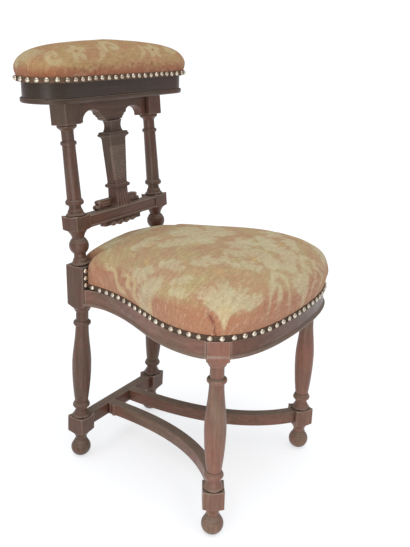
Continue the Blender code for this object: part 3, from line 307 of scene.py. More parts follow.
def combined(obj, tool, operation):
    """Cuts, crops or fuses obj with a tool, which is used up."""
    applied(obj, "BOOLEAN", operation=operation, solver="EXACT", object=tool)
    bpy.data.objects.remove(tool)
    return obj


def eased(obj, width, segments=2, angle=40):
    """Rounds the sharp edges of obj over."""
    limit = math.radians(angle)
    return applied(obj, "BEVEL", width=width, segments=segments, limit_method="ANGLE", angle_limit=limit)


def joined(pieces):
    """Makes several objects one."""
    bpy.ops.object.select_all(action="DESELECT")
    for piece in pieces:
        piece.select_set(True)
    bpy.context.view_layer.objects.active = pieces[0]
    bpy.ops.object.join()
    return pieces[0]


def named(obj, name):
    """Gives obj and its mesh a name."""
    obj.name = name
    obj.data.name = name
    return obj


def placed(name, data):
    """A new object in the scene."""
    obj = bpy.data.objects.new(name, data)
    bpy.context.scene.collection.objects.link(obj)
    return obj


def copied(obj, matrix, name=None):
    """A copy of obj with its own mesh, moved by a matrix."""
    twin = obj.copy()
    twin.data = obj.data.copy()
    twin.data.transform(matrix)
    bpy.context.scene.collection.objects.link(twin)
    return named(twin, name) if name else twin


def drawn(name, points):
    """A line drawn from point to point."""
    bpy.ops.mesh.primitive_plane_add(size=0.001)
    obj = named(bpy.context.object, name)
    with editing(obj):
        bpy.ops.mesh.merge(type="CENTER")
        bpy.ops.transform.translate(value=points[0])
        for here, there in zip(points, points[1:]):
            pulled(Vector(there) - Vector(here))
    return obj


def sawn(name, outline, along, ease=0.0):
    """A board sawn to an outline of points, as thick as along, with its edges eased where asked."""
    obj = drawn(name, outline)
    with editing(obj):
        bpy.ops.mesh.edge_face_add()
        pulled(along)
        close_up()
    return eased(obj, ease) if ease else obj


def turned(name, profile, sides=48):
    """A solid turned about the Z axis from (radius, height) points, from its foot to its head."""
    obj = drawn(name, [(radius, 0, z) for radius, z in profile])
    with editing(obj):
        bpy.ops.mesh.spin(steps=sides, angle=2 * math.pi, center=(0, 0, 0), axis=(0, 0, 1))
        close_up()
    return obj


def squared_bar(name, rows):
    """An upright bar whose (half width, half depth, height) changes from row to row."""
    bpy.ops.mesh.primitive_plane_add(size=2)
    obj = named(bpy.context.object, name)
    width, depth, level = rows[0]
    with editing(obj, "FACE"):
        bpy.ops.transform.resize(value=(width, depth, 1), center_override=(0, 0, 0))
        bpy.ops.transform.translate(value=(0, 0, level))
        for below, above in zip(rows, rows[1:]):
            pulled((0, 0, above[2] - below[2]))
            change = (above[0] / below[0], above[1] / below[1], 1)
            bpy.ops.transform.resize(value=change, center_override=(0, 0, above[2]))
        close_up()
    return obj


def box_solid(name, low, high):
    """A plain box from corner to corner."""
    half = [(b - a) / 2 for a, b in zip(low, high)]
    obj = squared_bar(name, [(half[0], half[1], low[2]), (half[0], half[1], high[2])])
    obj.data.transform(Matrix.Translation((low[0] + half[0], low[1] + half[1], 0)))
    return obj


def track(name, points, closed, dimensions="2D"):
    """A curve object through points."""
    curve = bpy.data.curves.new(name, "CURVE")
    curve.dimensions = dimensions
    spline = curve.splines.new("POLY")
    spline.points.add(len(points) - 1)
    for node, point in zip(spline.points, points):
        node.co = (*point, *([0] * (3 - len(point))), 1)
    spline.use_cyclic_u = closed
    return placed(name, curve)


def meshed(obj):
    """Turns a curve that has a thickness into a closed mesh."""
    obj.data.use_fill_caps = True
    only(obj)
    bpy.ops.object.convert(target="MESH")
    obj.data.name = obj.name
    with editing(obj):
        close_up()
    return obj


def run_along(name, path, section, closed=False):
    """A moulding: a section of (outward, height) points run along a level path, outward to its right."""
    obj = track(name, path, closed)
    shape = track("section", section, True)
    obj.data.bevel_mode = "OBJECT"
    obj.data.bevel_object = shape
    meshed(obj)
    bpy.data.objects.remove(shape)
    return obj


def wound(name, points, radius):
    """A round wire along points."""
    obj = track(name, points, False, "3D")
    obj.data.bevel_depth = radius
    obj.data.bevel_resolution = 2
    return meshed(obj)


def points_of(obj):
    """The points of a mesh, as rows of (x, y, z)."""
    flat = np.empty(len(obj.data.vertices) * 3)
    obj.data.vertices.foreach_get("co", flat)
    return flat.reshape(-1, 3)


def set_points(obj, points):
    """Moves the points of a mesh."""
    obj.data.vertices.foreach_set("co", np.ascontiguousarray(points, float).ravel())
    obj.data.update()


def dressed(obj, material, stands_for=(), body="chair", angle=35, crisp=True):
    """Smooths a piece, gives it its finish and sets it on its body in the place of its nodes."""
    only(obj)
    bpy.ops.object.shade_smooth_by_angle(angle=math.radians(angle))
    if crisp:
        applied(obj, "WEIGHTED_NORMAL", keep_sharp=True)
    obj.data.materials.clear()
    obj.data.materials.append(material)
    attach(obj, body)
    if stands_for:
        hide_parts(*stands_for)
    return obj


# Lines and curves


def spread(low, high, count):
    """Even steps from low to high."""
    return [low + (high - low) * i / count for i in range(count + 1)]


def arc(x, z, wide, high, start, end, count):
    """Points of a round or oval arc about (x, z), from one angle to another in degrees."""
    turns = [math.radians(angle) for angle in spread(start, end, count)]
    return [(x + wide * math.cos(turn), z + high * math.sin(turn)) for turn in turns]


def stepped(x, z, steps):
    """Points at steps out and up from (x, z), in the turner's unit."""
    return [(x + out * PART, z + up * PART) for out, up in steps]


def through(points, count=6):
    """A smooth line through points, with count steps between neighbours."""
    p = np.array(points, float)
    p = np.vstack((2 * p[0] - p[1], p, 2 * p[-1] - p[-2]))
    line = []
    for a, b, c, d in zip(p, p[1:], p[2:], p[3:]):
        for t in np.arange(count) / count:
            bend = (2 * a - 5 * b + 4 * c - d) * t * t + (3 * b - a - 3 * c + d) * t**3
            line.append(tuple(b + 0.5 * ((c - a) * t + bend)))
    return line + [tuple(p[-2])]


def bezier(points, t):
    """The point and the direction of travel of a cubic curve."""
    a, b, c, d = (Vector(point) for point in points)
    s = 1 - t
    place = s**3 * a + 3 * s * s * t * b + 3 * s * t * t * c + t**3 * d
    travel = s * s * (b - a) + 2 * s * t * (c - b) + t * t * (d - c)
    return place, travel.normalized()


def seat_curve(u):
    """A point of the seat's outline and its outward normal: -2 and 2 at the rear posts, 0 at the front."""
    front = POST_Y - SEAT_DEPTH
    widest = (SEAT_HALF_WIDTH, POST_Y - WIDEST_FORWARD)
    if abs(u) <= 1:
        points = ((0, front), (FRONT_BOW, front), (SEAT_HALF_WIDTH, POST_Y - CORNER_FORWARD), widest)
        place, travel = bezier(points, abs(u))
    else:
        sweep = (SEAT_HALF_WIDTH, POST_Y - SIDE_SWEEP)
        waist = (SEAT_HALF_REAR, POST_Y - WAIST_FORWARD)
        points = (widest, sweep, waist, (SEAT_HALF_REAR, POST_FRONT - FIT))
        place, travel = bezier(points, abs(u) - 1)
    side = -1 if u < 0 else 1
    return Vector((side * place.x, place.y)), Vector((side * travel.y, -travel.x))


def seat_path(low, high, out=0.0, count=160):
    """Points along the seat's outline, moved outwards."""
    path = []
    for u in spread(low, high, count):
        place, normal = seat_curve(u)
        path.append(tuple(place + normal * out))
    return path


def stadium(half_length, radius, count=24):
    """Points round a bar with straight sides along X and round ends, about the box's middle."""
    straight = half_length - radius
    right = arc(straight, BOX_Y, radius, radius, -90, 90, count)
    left = arc(-straight, BOX_Y, radius, radius, 90, 270, count)
    return right + left


# Turned profiles, as (radius, height) points


def half_round(z, inner, outer, half, count=10):
    """A half-round ring."""
    return arc(inner, z, outer - inner, half, -90, 90, count)


def ring(place, below, above, outer):
    """A ring with a small fillet on each side."""
    z, half = place
    bead = min(0.0042, 0.70 * half)
    step = 0.0019
    low = [(below, z - half), (below + step, z - half + 0.0003), (below + step, z - bead)]
    high = [(above + step, z + bead), (above + step, z + half - 0.0003), (above, z + half)]
    return low + half_round(z, max(below, above) + step, outer, bead) + high


def shoulder(z, neck=NECK_R):
    """The hollow shoulder below a block that starts at z."""
    rise = HALF / PART - neck / PART - 1.2
    return through(stepped(neck, z, ((0, -17), (0.7, -13), (2.6, -8), (5.6, -3.5), (rise, -0.6))), 5)


def tongue(z):
    """The fillets and hollow that lead from a leg's neck up to the cut corners of its seat block at z."""
    fillets = ((0.8, -25), (0.6, -16), (2.2, -15.6), (2.4, -13.8), (3.6, -13.4), (3.8, -11.8), (4.8, -11.4))
    hollow = stepped(NECK_R, z, ((5, -10.4), (6.6, -7.2), (10.8, -3.4))) + [(1.46 * HALF, z + PART)]
    return stepped(NECK_R, z, fillets) + through(hollow, 6)


def collar(z, neck=NECK_R):
    """The collar above a block that ends at z: a torus, a fillet and a bell-shaped hollow up to the neck."""
    edge = HALF - PART
    torus = [(edge - 0.0022, z)] + half_round(z + 0.0027, edge - 0.0022, edge, 0.0025, 8)
    fillet = stepped(edge, z, ((-2.6, 5.6), (-2.8, 6.6)))
    bell = stepped(edge, z, ((-3.6, 7),)) + stepped(neck, z, ((3, 10.8), (0.8, 14.6), (0, 18.5)))
    return torus + fillet + through(bell, 6)


def block(bottom, top):
    """A stretch that stays square: its corners run up past the shoulder above and are cut away below."""
    wide = 1.6 * HALF
    slope = 1.45 * HORN
    return [(HALF - 0.0004, bottom), (wide, bottom + slope), (wide, top + slope), (HALF - 0.0004, top)]


def ball(centre, radius, low_r, high_r, count=22):
    """A ball with a thin line cut round it near its top."""
    low, high = (math.degrees(math.acos(end / radius)) for end in (low_r, high_r))
    line = arc(0, centre, radius, radius, -low, high, count)
    cut = line[count - 5]
    line[count - 5] = (cut[0] - 0.0009, cut[1])
    return line


def baluster(bottom, top, count=30):
    """A long swelling that is full below its widest place and hollow above it."""
    line = []
    for u in spread(0, 1, count):
        if u < BALUSTER_PEAK:
            swell = math.cos(math.pi / 2 * (1 - u / BALUSTER_PEAK)) ** 0.85
        else:
            swell = 0.5 + 0.5 * math.cos(math.pi * (u - BALUSTER_PEAK) / (1 - BALUSTER_PEAK))
        line.append((BALUSTER_END_R + (BALUSTER_R - BALUSTER_END_R) * swell, bottom + (top - bottom) * u))
    return line


def leg_profile(top):
    """Ball foot, block, collar, ring, baluster, ring and seat block."""
    line = [(0, 0)] + ball(math.sqrt(FOOT_R**2 - FOOT_FLAT_R**2), FOOT_R, FOOT_FLAT_R, FOOT_COLLAR_R)
    line += stepped(FOOT_COLLAR_R, line[-1][1], ((1.1, 0.3), (1.4, 1.2), (1.1, 2.1), (-0.4, 2.7)))
    line += shoulder(FOOT_BLOCK[0])
    line += block(*FOOT_BLOCK)
    line += collar(FOOT_BLOCK[1])
    line += ring(LOW_RING, NECK_R, BALUSTER_END_R, RING_R)
    line += baluster(sum(LOW_RING) + RING_FILLET / 4, HIGH_RING[0] - HIGH_RING[1] - RING_FILLET / 4)
    line += ring(HIGH_RING, BALUSTER_END_R, NECK_R + 0.0008, RING_R)
    line += tongue(SHOULDER_Z)
    wide = 1.7 * HALF
    return line + [(wide, SHOULDER_Z + 1.7 * HORN), (wide, top), (0, top)]


def column_profile():
    """The back post from its seat block to past the box: ball, block, ring, column, ring and top block."""
    line = [(0, -0.02), (0.014, -0.02), (0.014, 0)]
    line += collar(0, BACK_NECK_R)
    line += ball(*BACK_BALL, BACK_NECK_R, BACK_NECK_R)
    line += shoulder(LOW_BLOCK[0], BACK_NECK_R)[6:]
    line += block(*LOW_BLOCK)
    line += collar(LOW_BLOCK[1], BACK_NECK_R)
    line += ring(LOW_COLUMN_RING, BACK_NECK_R, COLUMN_FOOT_R, RING_R)
    line += ring(HIGH_COLUMN_RING, COLUMN_HEAD_R, BACK_NECK_R, HIGH_COLUMN_RING_R)
    capital = stepped(BACK_NECK_R, TOP_BLOCK, ((0, -12.5), (1.6, -9.5)))
    line += through(capital + [(HALF - 0.0028, TOP_BLOCK - 0.0066)], 5)
    line += half_round(TOP_BLOCK - 0.0032, HALF - 0.0024, HALF - 0.001, 0.0028, 8)
    wide = 1.6 * HALF
    return line + [(wide, TOP_BLOCK), (wide, TOP_BLOCK + 0.1), (0, TOP_BLOCK + 0.1)]


# Legs and posts


def square_stock(name, zones, low, high, half_depth=HALF):
    """Stock that is wide where the work is turned and square in the zones of (bottom, top)."""
    wide = 2 * HALF
    rows = [(wide, wide, low)]
    for bottom, top in zones:
        depth = half_depth if top >= high else HALF
        rows += [(wide, wide, bottom), (HALF, depth, bottom), (HALF, depth, top)]
        if top < high:
            rows.append((wide, wide, top))
    if rows[-1][2] < high:
        rows.append((wide, wide, high))
    obj = squared_bar(name, rows)
    with editing(obj, "EDGE", lambda middle, way: abs(way.z) > 0.9):
        bpy.ops.mesh.bevel(offset=0.0009, segments=3, affect="EDGES")
    return obj


def turned_leg(name, top, half_depth=HALF):
    """A leg on the Z axis, from the floor to the top of its seat block."""
    leg = turned(name, leg_profile(top + 0.01))
    zones = ((FOOT_BLOCK[0] - 0.016, FOOT_BLOCK[1] + 0.017), (SHOULDER_Z - 0.016, top))
    return combined(leg, square_stock("stock", zones, -0.01, top, half_depth), "INTERSECT")


def raked(post):
    """Leans a rear leg back below the seat rails."""
    with editing(post):
        bpy.ops.mesh.bisect(plane_co=(0, 0, RAIL_BOTTOM), plane_no=(0, 0, 1))
    points = points_of(post)
    points[:, 1] += math.tan(LEG_RAKE) * np.maximum(0, RAIL_BOTTOM - points[:, 2])
    set_points(post, points + (0, POST_Y, 0))


def leg_frame(side):
    """A front leg's frame: its -Y face looks out square to the seat's curve."""
    place, normal = seat_curve(side * LEG_PLACE)
    place = place - normal * (HALF - LEG_PROUD)
    matrix = Matrix(((-normal.y, -normal.x, 0), (normal.x, -normal.y, 0), (0, 0, 1))).to_4x4()
    matrix.translation = (place.x, place.y, 0)
    return matrix


def pair(pattern, frame_at, name, node, wood):
    """Copies a piece to both sides of the chair, each copy in its side's frame, and uses the piece up."""
    for side, word in SIDES:
        piece = copied(pattern, frame_at(side), f"{name}_{word}")
        dressed(piece, wood, [f"{node}_{word}"])
    bpy.data.objects.remove(pattern)


def front_legs(wood):
    """One turned leg with a thin band across its seat block, copied to both front corners."""
    leg = turned_leg("leg", WOOD_TOP)
    wide, proud, sunk = HALF - 0.0004, HALF + 0.0008, HALF - 0.0005
    top = RAIL_BOTTOM + RAIL_BEAD_HEIGHT
    steps = ((sunk, 0.0034), (proud, 0.0024), (proud, 0.0012), (sunk, 0))
    band = squared_bar("band", [(wide, deep, top - drop) for deep, drop in steps])
    pair(joined([leg, band]), leg_frame, "turned_leg", "front_leg", wood)


def rear_posts(wood):
    """A rear leg and back post in one piece, raked back below the seat and, more, above it; made once."""
    post = turned_leg("post", SEAT_BLOCK_TOP, SEAT_BLOCK_HALF_DEPTH)
    eased(post, 0.0006, 2, 80)
    raked(post)
    column = turned("column", column_profile())
    zones = ((LOW_BLOCK[0] - 0.014, LOW_BLOCK[1] + 0.017), (TOP_BLOCK - 0.012, TOP_BLOCK + 0.09))
    combined(column, square_stock("stock", zones, -0.03, TOP_BLOCK + 0.09), "INTERSECT")
    column.data.transform(BACK_FRAME)
    combined(post, column, "UNION")
    cut_level(post, BOX_BASE_Z - FIT)
    pair(post, lambda side: Matrix.Translation((side * POST_SPREAD, 0, 0)), "turned_post", "rear_post", wood)


def cut_level(obj, z):
    """Saws off what stands above a level."""
    with editing(obj):
        bpy.ops.mesh.bisect(plane_co=(0, 0, z), plane_no=(0, 0, 1), use_fill=True, clear_outer=True)


# Seat rails and stretchers


def rail_section():
    """A seat rail: a rounded fillet with a slanting top along its lower edge, a bare face, and a rebate."""
    half, root = 0.0034, 0.0004
    top = RAIL_BOTTOM + RAIL_BEAD_HEIGHT
    bead = arc(root, RAIL_BOTTOM + half, RAIL_BEAD - root, half, -90, 0, 6)
    bead += [(RAIL_BEAD, top - 0.0032), (0.0002, top - 0.0004)]
    face = [(0, top), (0, WOOD_TOP - 0.0008)]
    rebate = [(-0.0008, WOOD_TOP), (-REBATE, WOOD_TOP), (-REBATE, RAIL_TOP)]
    return bead + face + rebate + [(-RAIL_THICK, RAIL_TOP), (-RAIL_THICK, RAIL_BOTTOM)]


def clear_of_leg(rail, side):
    """Trims a rail's end to the side face of a front leg."""
    half = HALF + FIT
    tool = box_solid("trim", (-half, -4 * HALF, RAIL_BOTTOM - HALF), (half, 2 * HALF, RAIL_TOP + HALF))
    tool.data.transform(leg_frame(side))
    combined(rail, tool, "DIFFERENCE")


def flush_with_post(rail, side):
    """Lets a side rail's bare face swing out to the face of the rear post."""
    points = points_of(rail)
    swing = 0.055
    near = np.clip((points[:, 1] - POST_FRONT + swing) / swing, 0, 1) ** 2
    bare = (points[:, 2] < WOOD_TOP + 1e-4) & (np.abs(points[:, 0]) > SEAT_HALF_REAR - 0.0015)
    points[:, 0] += side * RAIL_FLARE * near * bare
    set_points(rail, points)


def seat_rails(across, along):
    """The curved front and side rails, trimmed to the front legs, and the straight rear rail."""
    step = 0.11
    path = seat_path(-LEG_PLACE - step, LEG_PLACE + step, 0, 90)
    front = run_along("moulded_front_rail", path, rail_section())
    for side, word in SIDES:
        clear_of_leg(front, side)
        ends = sorted((side * (LEG_PLACE - step), side * 2))
        rail = run_along(f"moulded_side_rail_{word}", seat_path(*ends, 0, 90), rail_section())
        flush_with_post(rail, side)
        clear_of_leg(rail, side)
        dressed(rail, along, [f"side_rail_{word}"])
    dressed(front, across, ["front_rail"])
    low = (-RAIL_REACH, POST_Y - REAR_RAIL_THICK / 2, RAIL_BOTTOM)
    high = (RAIL_REACH, POST_Y + REAR_RAIL_THICK / 2, RAIL_TOP)
    rear = eased(box_solid("plain_rear_rail", low, high), 0.0012)
    dressed(rear, across, ["rear_rail"])


def eased_section(half_width, low, high, ease=0.0022):
    """A rectangle with rounded corners, as (outward, height) points."""
    section = []
    corners = ((1, low + ease, -90), (1, high - ease, 0), (-1, high - ease, 90), (-1, low + ease, 180))
    for side, z, start in corners:
        section += arc(side * (half_width - ease), z, ease, ease, start, start + 90, 3)
    return section


def curved_stretcher(side, word, wood):
    """A sawn stretcher that sweeps from the rear one out to a front leg, with two rolls at its rear end."""
    start = Vector((side * STRETCHER_MEET, REAR_STRETCHER_Y - REAR_STRETCHER_WIDTH / 2 - FIT))
    matrix = leg_frame(side)
    end = (matrix @ Vector((0, HALF + FIT, 0))).xy
    outwards = (matrix.to_3x3() @ Vector((0, -1, 0))).xy
    first, last = (share * (end - start).length for share in STRETCHER_PULL)
    waist = Vector((start.x - side * STRETCHER_BOW, start.y - first))
    points = (start, waist, end - outwards * last, end)
    path = [tuple(start + Vector((0, 0.002)))] + [tuple(bezier(points, t)[0]) for t in spread(0, 1, 60)]
    section = eased_section(CURVED_STRETCHER_WIDTH / 2, STRETCHER_BOTTOM, STRETCHER_TOP)
    piece = run_along(f"sawn_stretcher_{word}", path, section)
    low, high = STRETCHER_BOTTOM + 0.001, STRETCHER_TOP - 0.001
    for forward, r in NIB_ROLLS:
        edges = [(r - 0.001, low), (r, low + 0.001), (r, high - 0.001), (r - 0.001, high)]
        roll = turned("roll", [(0, low)] + edges + [(0, high)], 32)
        x = start.x + side * (CURVED_STRETCHER_WIDTH / 2 - 0.35 * r)
        roll.data.transform(Matrix.Translation((x, start.y - forward, 0)))
        combined(piece, roll, "UNION")
    return dressed(piece, wood, [f"curved_stretcher_{word}"])


def stretchers(across, along):
    """The straight stretcher between the rear legs, and the two curved ones."""
    path = [(-RAIL_REACH, REAR_STRETCHER_Y), (RAIL_REACH, REAR_STRETCHER_Y)]
    section = eased_section(REAR_STRETCHER_WIDTH / 2, STRETCHER_BOTTOM, STRETCHER_TOP)
    rear = run_along("straight_stretcher", path, section)
    dressed(rear, across, ["rear_stretcher"])
    for side, word in SIDES:
        curved_stretcher(side, word, along)


# Back


def back_rail_levels():
    """The lower and upper edge of the lower back rail, up the rake."""
    middle = sum(LOW_BLOCK) / 2 + HORN / 4
    return middle - BACK_RAIL_HEIGHT / 2, middle + BACK_RAIL_HEIGHT / 2


def apron_level():
    """Where the apron meets the box, up the rake."""
    return (BOX_BASE_Z - SEAT_BLOCK_TOP) / math.cos(BACK_RAKE)


def lower_back_rail(wood):
    """The moulded rail between the low blocks: a fillet, a sunk panel and a bead below."""
    low, high = back_rail_levels()
    front = 0.0006 - HALF
    rear = front + BACK_RAIL_THICK
    panel = PANEL_DEPTH - HALF
    bead = arc(front + 0.0004, low + 0.0021, -0.0016, 0.0021, -90, 90, 10)
    face = [(front + 0.0010, low + 0.0044), (front, low + 0.0048), (front, low + PANEL_MARGINS[0] - 0.0004)]
    face += [(panel, low + PANEL_MARGINS[0]), (panel, high - PANEL_MARGINS[1])]
    face += [(front, high - PANEL_MARGINS[1] + 0.0004), (front, high - 0.0009), (front + 0.0009, high)]
    section = bead + face + [(rear, high), (rear, low)]
    rail = sawn("moulded_back_rail", [(-RAIL_REACH, y, z) for y, z in section], (2 * RAIL_REACH, 0, 0))
    rail.data.transform(BACK_FRAME)
    return dressed(rail, wood, ["lower_back_rail"], angle=30)


def apron_outline():
    """Lower edge of the apron: two arches that step down to a lobed drop in the middle, and straight ends."""
    middle = apron_level() - APRON_DROP
    spring = TOP_BLOCK + ARCH_STEP
    crown = spring + ARCH_HEIGHT
    peak = 0.0640
    right = through(stepped(0, middle, ((21.5, 0), (27.5, 2.2), (30.5, 7))), 5)
    right += stepped(0, middle, ((34.5, 7.8), (34.5, 11.2), (40, 12.2), (42, 16.5)))
    inner, foot = right[-1]
    right += arc(peak, foot, peak - inner, crown - foot, 180, 90, 12)[1:]
    right += arc(peak, spring, ARCH_OUTER - peak, ARCH_HEIGHT, 90, 0, 14)[1:]
    right += [(ARCH_OUTER, spring - ARCH_STEP), (RAIL_REACH, spring - ARCH_STEP)]
    return [(-x, z) for x, z in reversed(right)] + right


def arched_apron(wood):
    """The board with two arches under the box, sawn level where it meets it."""
    top = apron_level() + 0.01
    outline = apron_outline() + [(RAIL_REACH, top), (-RAIL_REACH, top)]
    board = sawn("sawn_apron", [(x, -APRON_THICK / 2, z) for x, z in outline], (0, APRON_THICK, 0), 0.0012)
    board.data.transform(BACK_FRAME)
    cut_level(board, BOX_BASE_Z - FIT)
    return dressed(board, wood, ["arched_apron"])


def moulding(half, level, steps):
    """Rows of (half width, half thickness, height) at steps out, forward and up, in the turner's unit."""
    thick = SPLAT_HALF_THICK
    return [(half + out * PART, thick + deep * PART, level + up * PART) for out, deep, up in steps]


def splat_rows(low, high):
    """(half width, half thickness, height) up the splat: flared foot, base ring, taper, cap and neck."""
    base, cap = low + SPLAT_BASE, high - SPLAT_CAP
    flare = moulding(SPLAT_FOOT, low, ((SPLAT_FLARE / PART, 2.2, 0), (5, 0.8, 7), (1.8, -0.4, 17)))
    rows = through(flare + moulding(SPLAT_FOOT, base, ((0.8, -0.8, -8),)), 5)
    rows += moulding(SPLAT_FOOT, base, ((2.2, 1.6, -7.4),))
    bulge = ((2.8, 2, -7.2), (4.6, 3.6, -5.4), (5, 4, -3.2), (4.4, 3.4, -1), (2.6, 1.8, 0.4))
    rows += through(moulding(SPLAT_FOOT, base, bulge), 4)
    rows += moulding(SPLAT_FOOT, base, ((1, 0.8, 0.8), (0.8, 0.6, 2.6), (0, 0, 3)))
    rows += moulding(SPLAT_HEAD, cap, ((0, 0, -13),))
    cove = ((0.6, 0.6, -12.6), (1.6, 1.4, -10.6), (3.2, 2.8, -9.2))
    low_round = ((4, 3.6, -8.8), (5.4, 4.8, -7.4), (5.8, 5.2, -5.6), (5.2, 4.6, -3.8), (3.8, 3.4, -2.8))
    high_round = ((3.4, 3, -2.6), (4.4, 4, -1.4), (3.4, 3, 0.2))
    for steps in (cove, low_round, high_round):
        rows += through(moulding(SPLAT_HEAD, cap, steps), 4)
    neck = []
    for share, back, up in ((0.76, 1.2, 0.9), (0.63, 2, 8), (0.62, 2.2, 15), (0.72, 1.8, 22)):
        neck += moulding(SPLAT_HEAD * share, cap, ((0, -back, up),))
    return rows + through(neck + moulding(SPLAT_HEAD * 0.90, high, ((0, -1.4, 0),)), 5)


def reeds(low, high, low_half, high_half):
    """The ribbed front of the splat: half-round ribs one over another, cropped to its taper."""
    front, pitch = -SPLAT_HALF_THICK, (high - low) / REEDS
    side = -high_half - 0.005
    outline = []
    for i in range(REEDS):
        for turn in spread(0, math.pi, 4)[:4]:
            z = low + pitch * (i + 0.5 - 0.5 * math.cos(turn))
            outline.append((side, front + REED_DEPTH * (1 - math.sin(turn)), z))
    back = front + 3 * REED_DEPTH
    outline += [(side, front + REED_DEPTH, high), (side, back, high), (side, back, low)]
    strip = sawn("reeds", outline, (-2 * side, 0, 0))
    taper = squared_bar("taper", [(low_half, 0.03, low - 0.0001), (high_half, 0.03, high + 0.0001)])
    return combined(strip, taper, "INTERSECT")


def foot_veins(rows):
    """Carved veins that spread down the splat's flared foot."""
    foot = rows[:14]
    veins = []
    for share in (-0.78, -0.40, 0.0, 0.40, 0.78):
        points = [(share * width, -thick + 0.0001, z) for width, thick, z in foot]
        veins.append(wound("vein", points, 0.0009))
    return veins


def back_splat(wood):
    """The tapered splat, with ribs let into its front and veins on its foot."""
    low, high = back_rail_levels()[1] + FIT, apron_level() - APRON_DROP - FIT
    rows = splat_rows(low, high)
    piece = eased(squared_bar("reeded_splat", rows), 0.0004, 2, 60)
    start, end = low + SPLAT_BASE + 10 * PART, high - SPLAT_CAP - 28 * PART
    shaft = (low + SPLAT_BASE + 3 * PART, high - SPLAT_CAP - 12 * PART)
    halves = []
    for z in (start, end):
        share = (z - shaft[0]) / (shaft[1] - shaft[0])
        halves.append(SPLAT_FOOT + (SPLAT_HEAD - SPLAT_FOOT) * share - 2.2 * PART)
    recess = squared_bar("recess", [(halves[0] + 0.0001, 0.01, start), (halves[1] + 0.0001, 0.01, end)])
    recess.data.transform(Matrix.Translation((0, -SPLAT_HALF_THICK - 0.01 + 1.2 * REED_DEPTH, 0)))
    combined(piece, recess, "DIFFERENCE")
    joined([piece, reeds(start, end, *halves)] + foot_veins(rows))
    piece.data.transform(BACK_FRAME @ Matrix.Translation((0, -SPLAT_FORWARD, 0)))
    return dressed(piece, wood, ["back_splat"])


def scroll_outline(side, start, low):
    """A bracket of two stacked rolls with round outer ends, the lower one longer."""
    points = [(start, low)]
    for end, bottom, radius in ((SCROLL_ENDS[0], low, 0.0047), (SCROLL_ENDS[1], low + 0.0096, 0.0044)):
        points += arc(end - radius, bottom + radius, radius, radius, -90, 90, 10)
    return [(side * x, z) for x, z in points + [(start, low + 0.0184)]]


def volute(centre, side, radius, turns, y):
    """A raised spiral cut on the face of a bracket."""
    points = []
    for share in spread(0, 1, 40):
        angle = 2 * math.pi * turns * share + 0.6
        reach = radius * (1 - 0.8 * share)
        points.append((centre[0] + side * reach * math.cos(angle), y, centre[1] + reach * math.sin(angle)))
    return wound("volute", points, 0.00085)


def scroll_bracket(side, word, wood):
    """A carved bracket beside the splat's foot, with volutes and veins on both faces."""
    low = back_rail_levels()[1] + FIT
    start = SPLAT_FOOT + 0.002
    front = 0.0010 - SPLAT_FORWARD
    outline = [(x, front, z) for x, z in scroll_outline(side, start, low)]
    piece = sawn(f"carved_scroll_{word}", outline, (0, SCROLL_THICK, 0), 0.0014)
    carving = []
    for y in (front, front + SCROLL_THICK):
        carving.append(volute((side * (SCROLL_ENDS[0] - 0.0050), low + 0.0048), side, 0.0036, 1.6, y))
        carving.append(volute((side * (SCROLL_ENDS[1] - 0.0047), low + 0.0140), side, 0.0033, 1.4, y))
        for level in (0.0068, 0.0118):
            vein = ((SCROLL_ENDS[1] - 0.011, level), (start + 0.016, level), (start + 0.009, level + 0.001))
            carving.append(wound("vein", [(side * x, y, low + z) for x, z in through(vein, 6)], 0.0008))
    joined([piece] + carving)
    piece.data.transform(BACK_FRAME)
    return dressed(piece, wood, [f"scroll_{word}"])


def pendant_drop(x):
    """How far the pendant hangs at a distance from its middle: leaf lobes between two square tabs."""
    share = x / PENDANT_HALF
    if abs(share) > 0.74:
        return 0.0105
    lobe = abs(math.sin(PENDANT_LOBES * math.pi * (share / 0.74 + 1) / 2))
    return (0.0106 + 0.0040 * math.cos(math.pi * share / 2)) * (0.50 + 0.50 * lobe**0.6)


def petal():
    """One raised petal of the carved pendant, of unit size."""
    return turned("petal", [(0, -1)] + arc(0, 0, 1, 1, -83.08, 83.08, 10) + [(0, 1)], 16)


def rail_pendant(wood):
    """The scalloped pendant under the lower back rail, with three petals on each lobe of both faces."""
    top = back_rail_levels()[0] - FIT
    front = -PENDANT_THICK + 0.0025
    outline = [(x, front, top - pendant_drop(x)) for x in spread(-PENDANT_HALF, PENDANT_HALF, 90)]
    outline += [(PENDANT_HALF, front, top), (-PENDANT_HALF, front, top)]
    piece = sawn("carved_pendant", outline, (0, PENDANT_THICK, 0), 0.0009)
    pattern = petal()
    petals = []
    pitch = 2 * 0.76 * PENDANT_HALF / PENDANT_LOBES
    for i in range(PENDANT_LOBES):
        x = (i - (PENDANT_LOBES - 1) / 2) * pitch
        drop = pendant_drop(x)
        shape = Matrix.Diagonal((0.13 * pitch, 0.0034, 0.40 * drop, 1))
        for y in (front + 0.0008, front + PENDANT_THICK - 0.0008):
            for offset, lean in ((0, 0), (-0.24, 0.5), (0.24, -0.5)):
                place = Matrix.Translation((x + offset * pitch, y, top - 0.48 * drop))
                petals.append(copied(pattern, place @ Matrix.Rotation(lean, 4, "Y") @ shape))
    bpy.data.objects.remove(pattern)
    joined([piece] + petals)
    piece.data.transform(BACK_FRAME)
    return dressed(piece, wood, ["rail_pendant"])


# Box rail


def level_board(name, half_length, radius, low, high):
    """A board with round ends about the box's middle."""
    outline = [(x, y, low) for x, y in stadium(half_length, radius)]
    return sawn(name, outline, (0, 0, high - low))


def round_over(obj, z, width, segments=4):
    """Rounds over the edge that runs round a board at a level."""
    with editing(obj, "EDGE", lambda middle, way: abs(middle.z - z) < 1e-5 and abs(way.z) < 0.1):
        bpy.ops.mesh.bevel(offset=width, segments=segments, affect="EDGES")


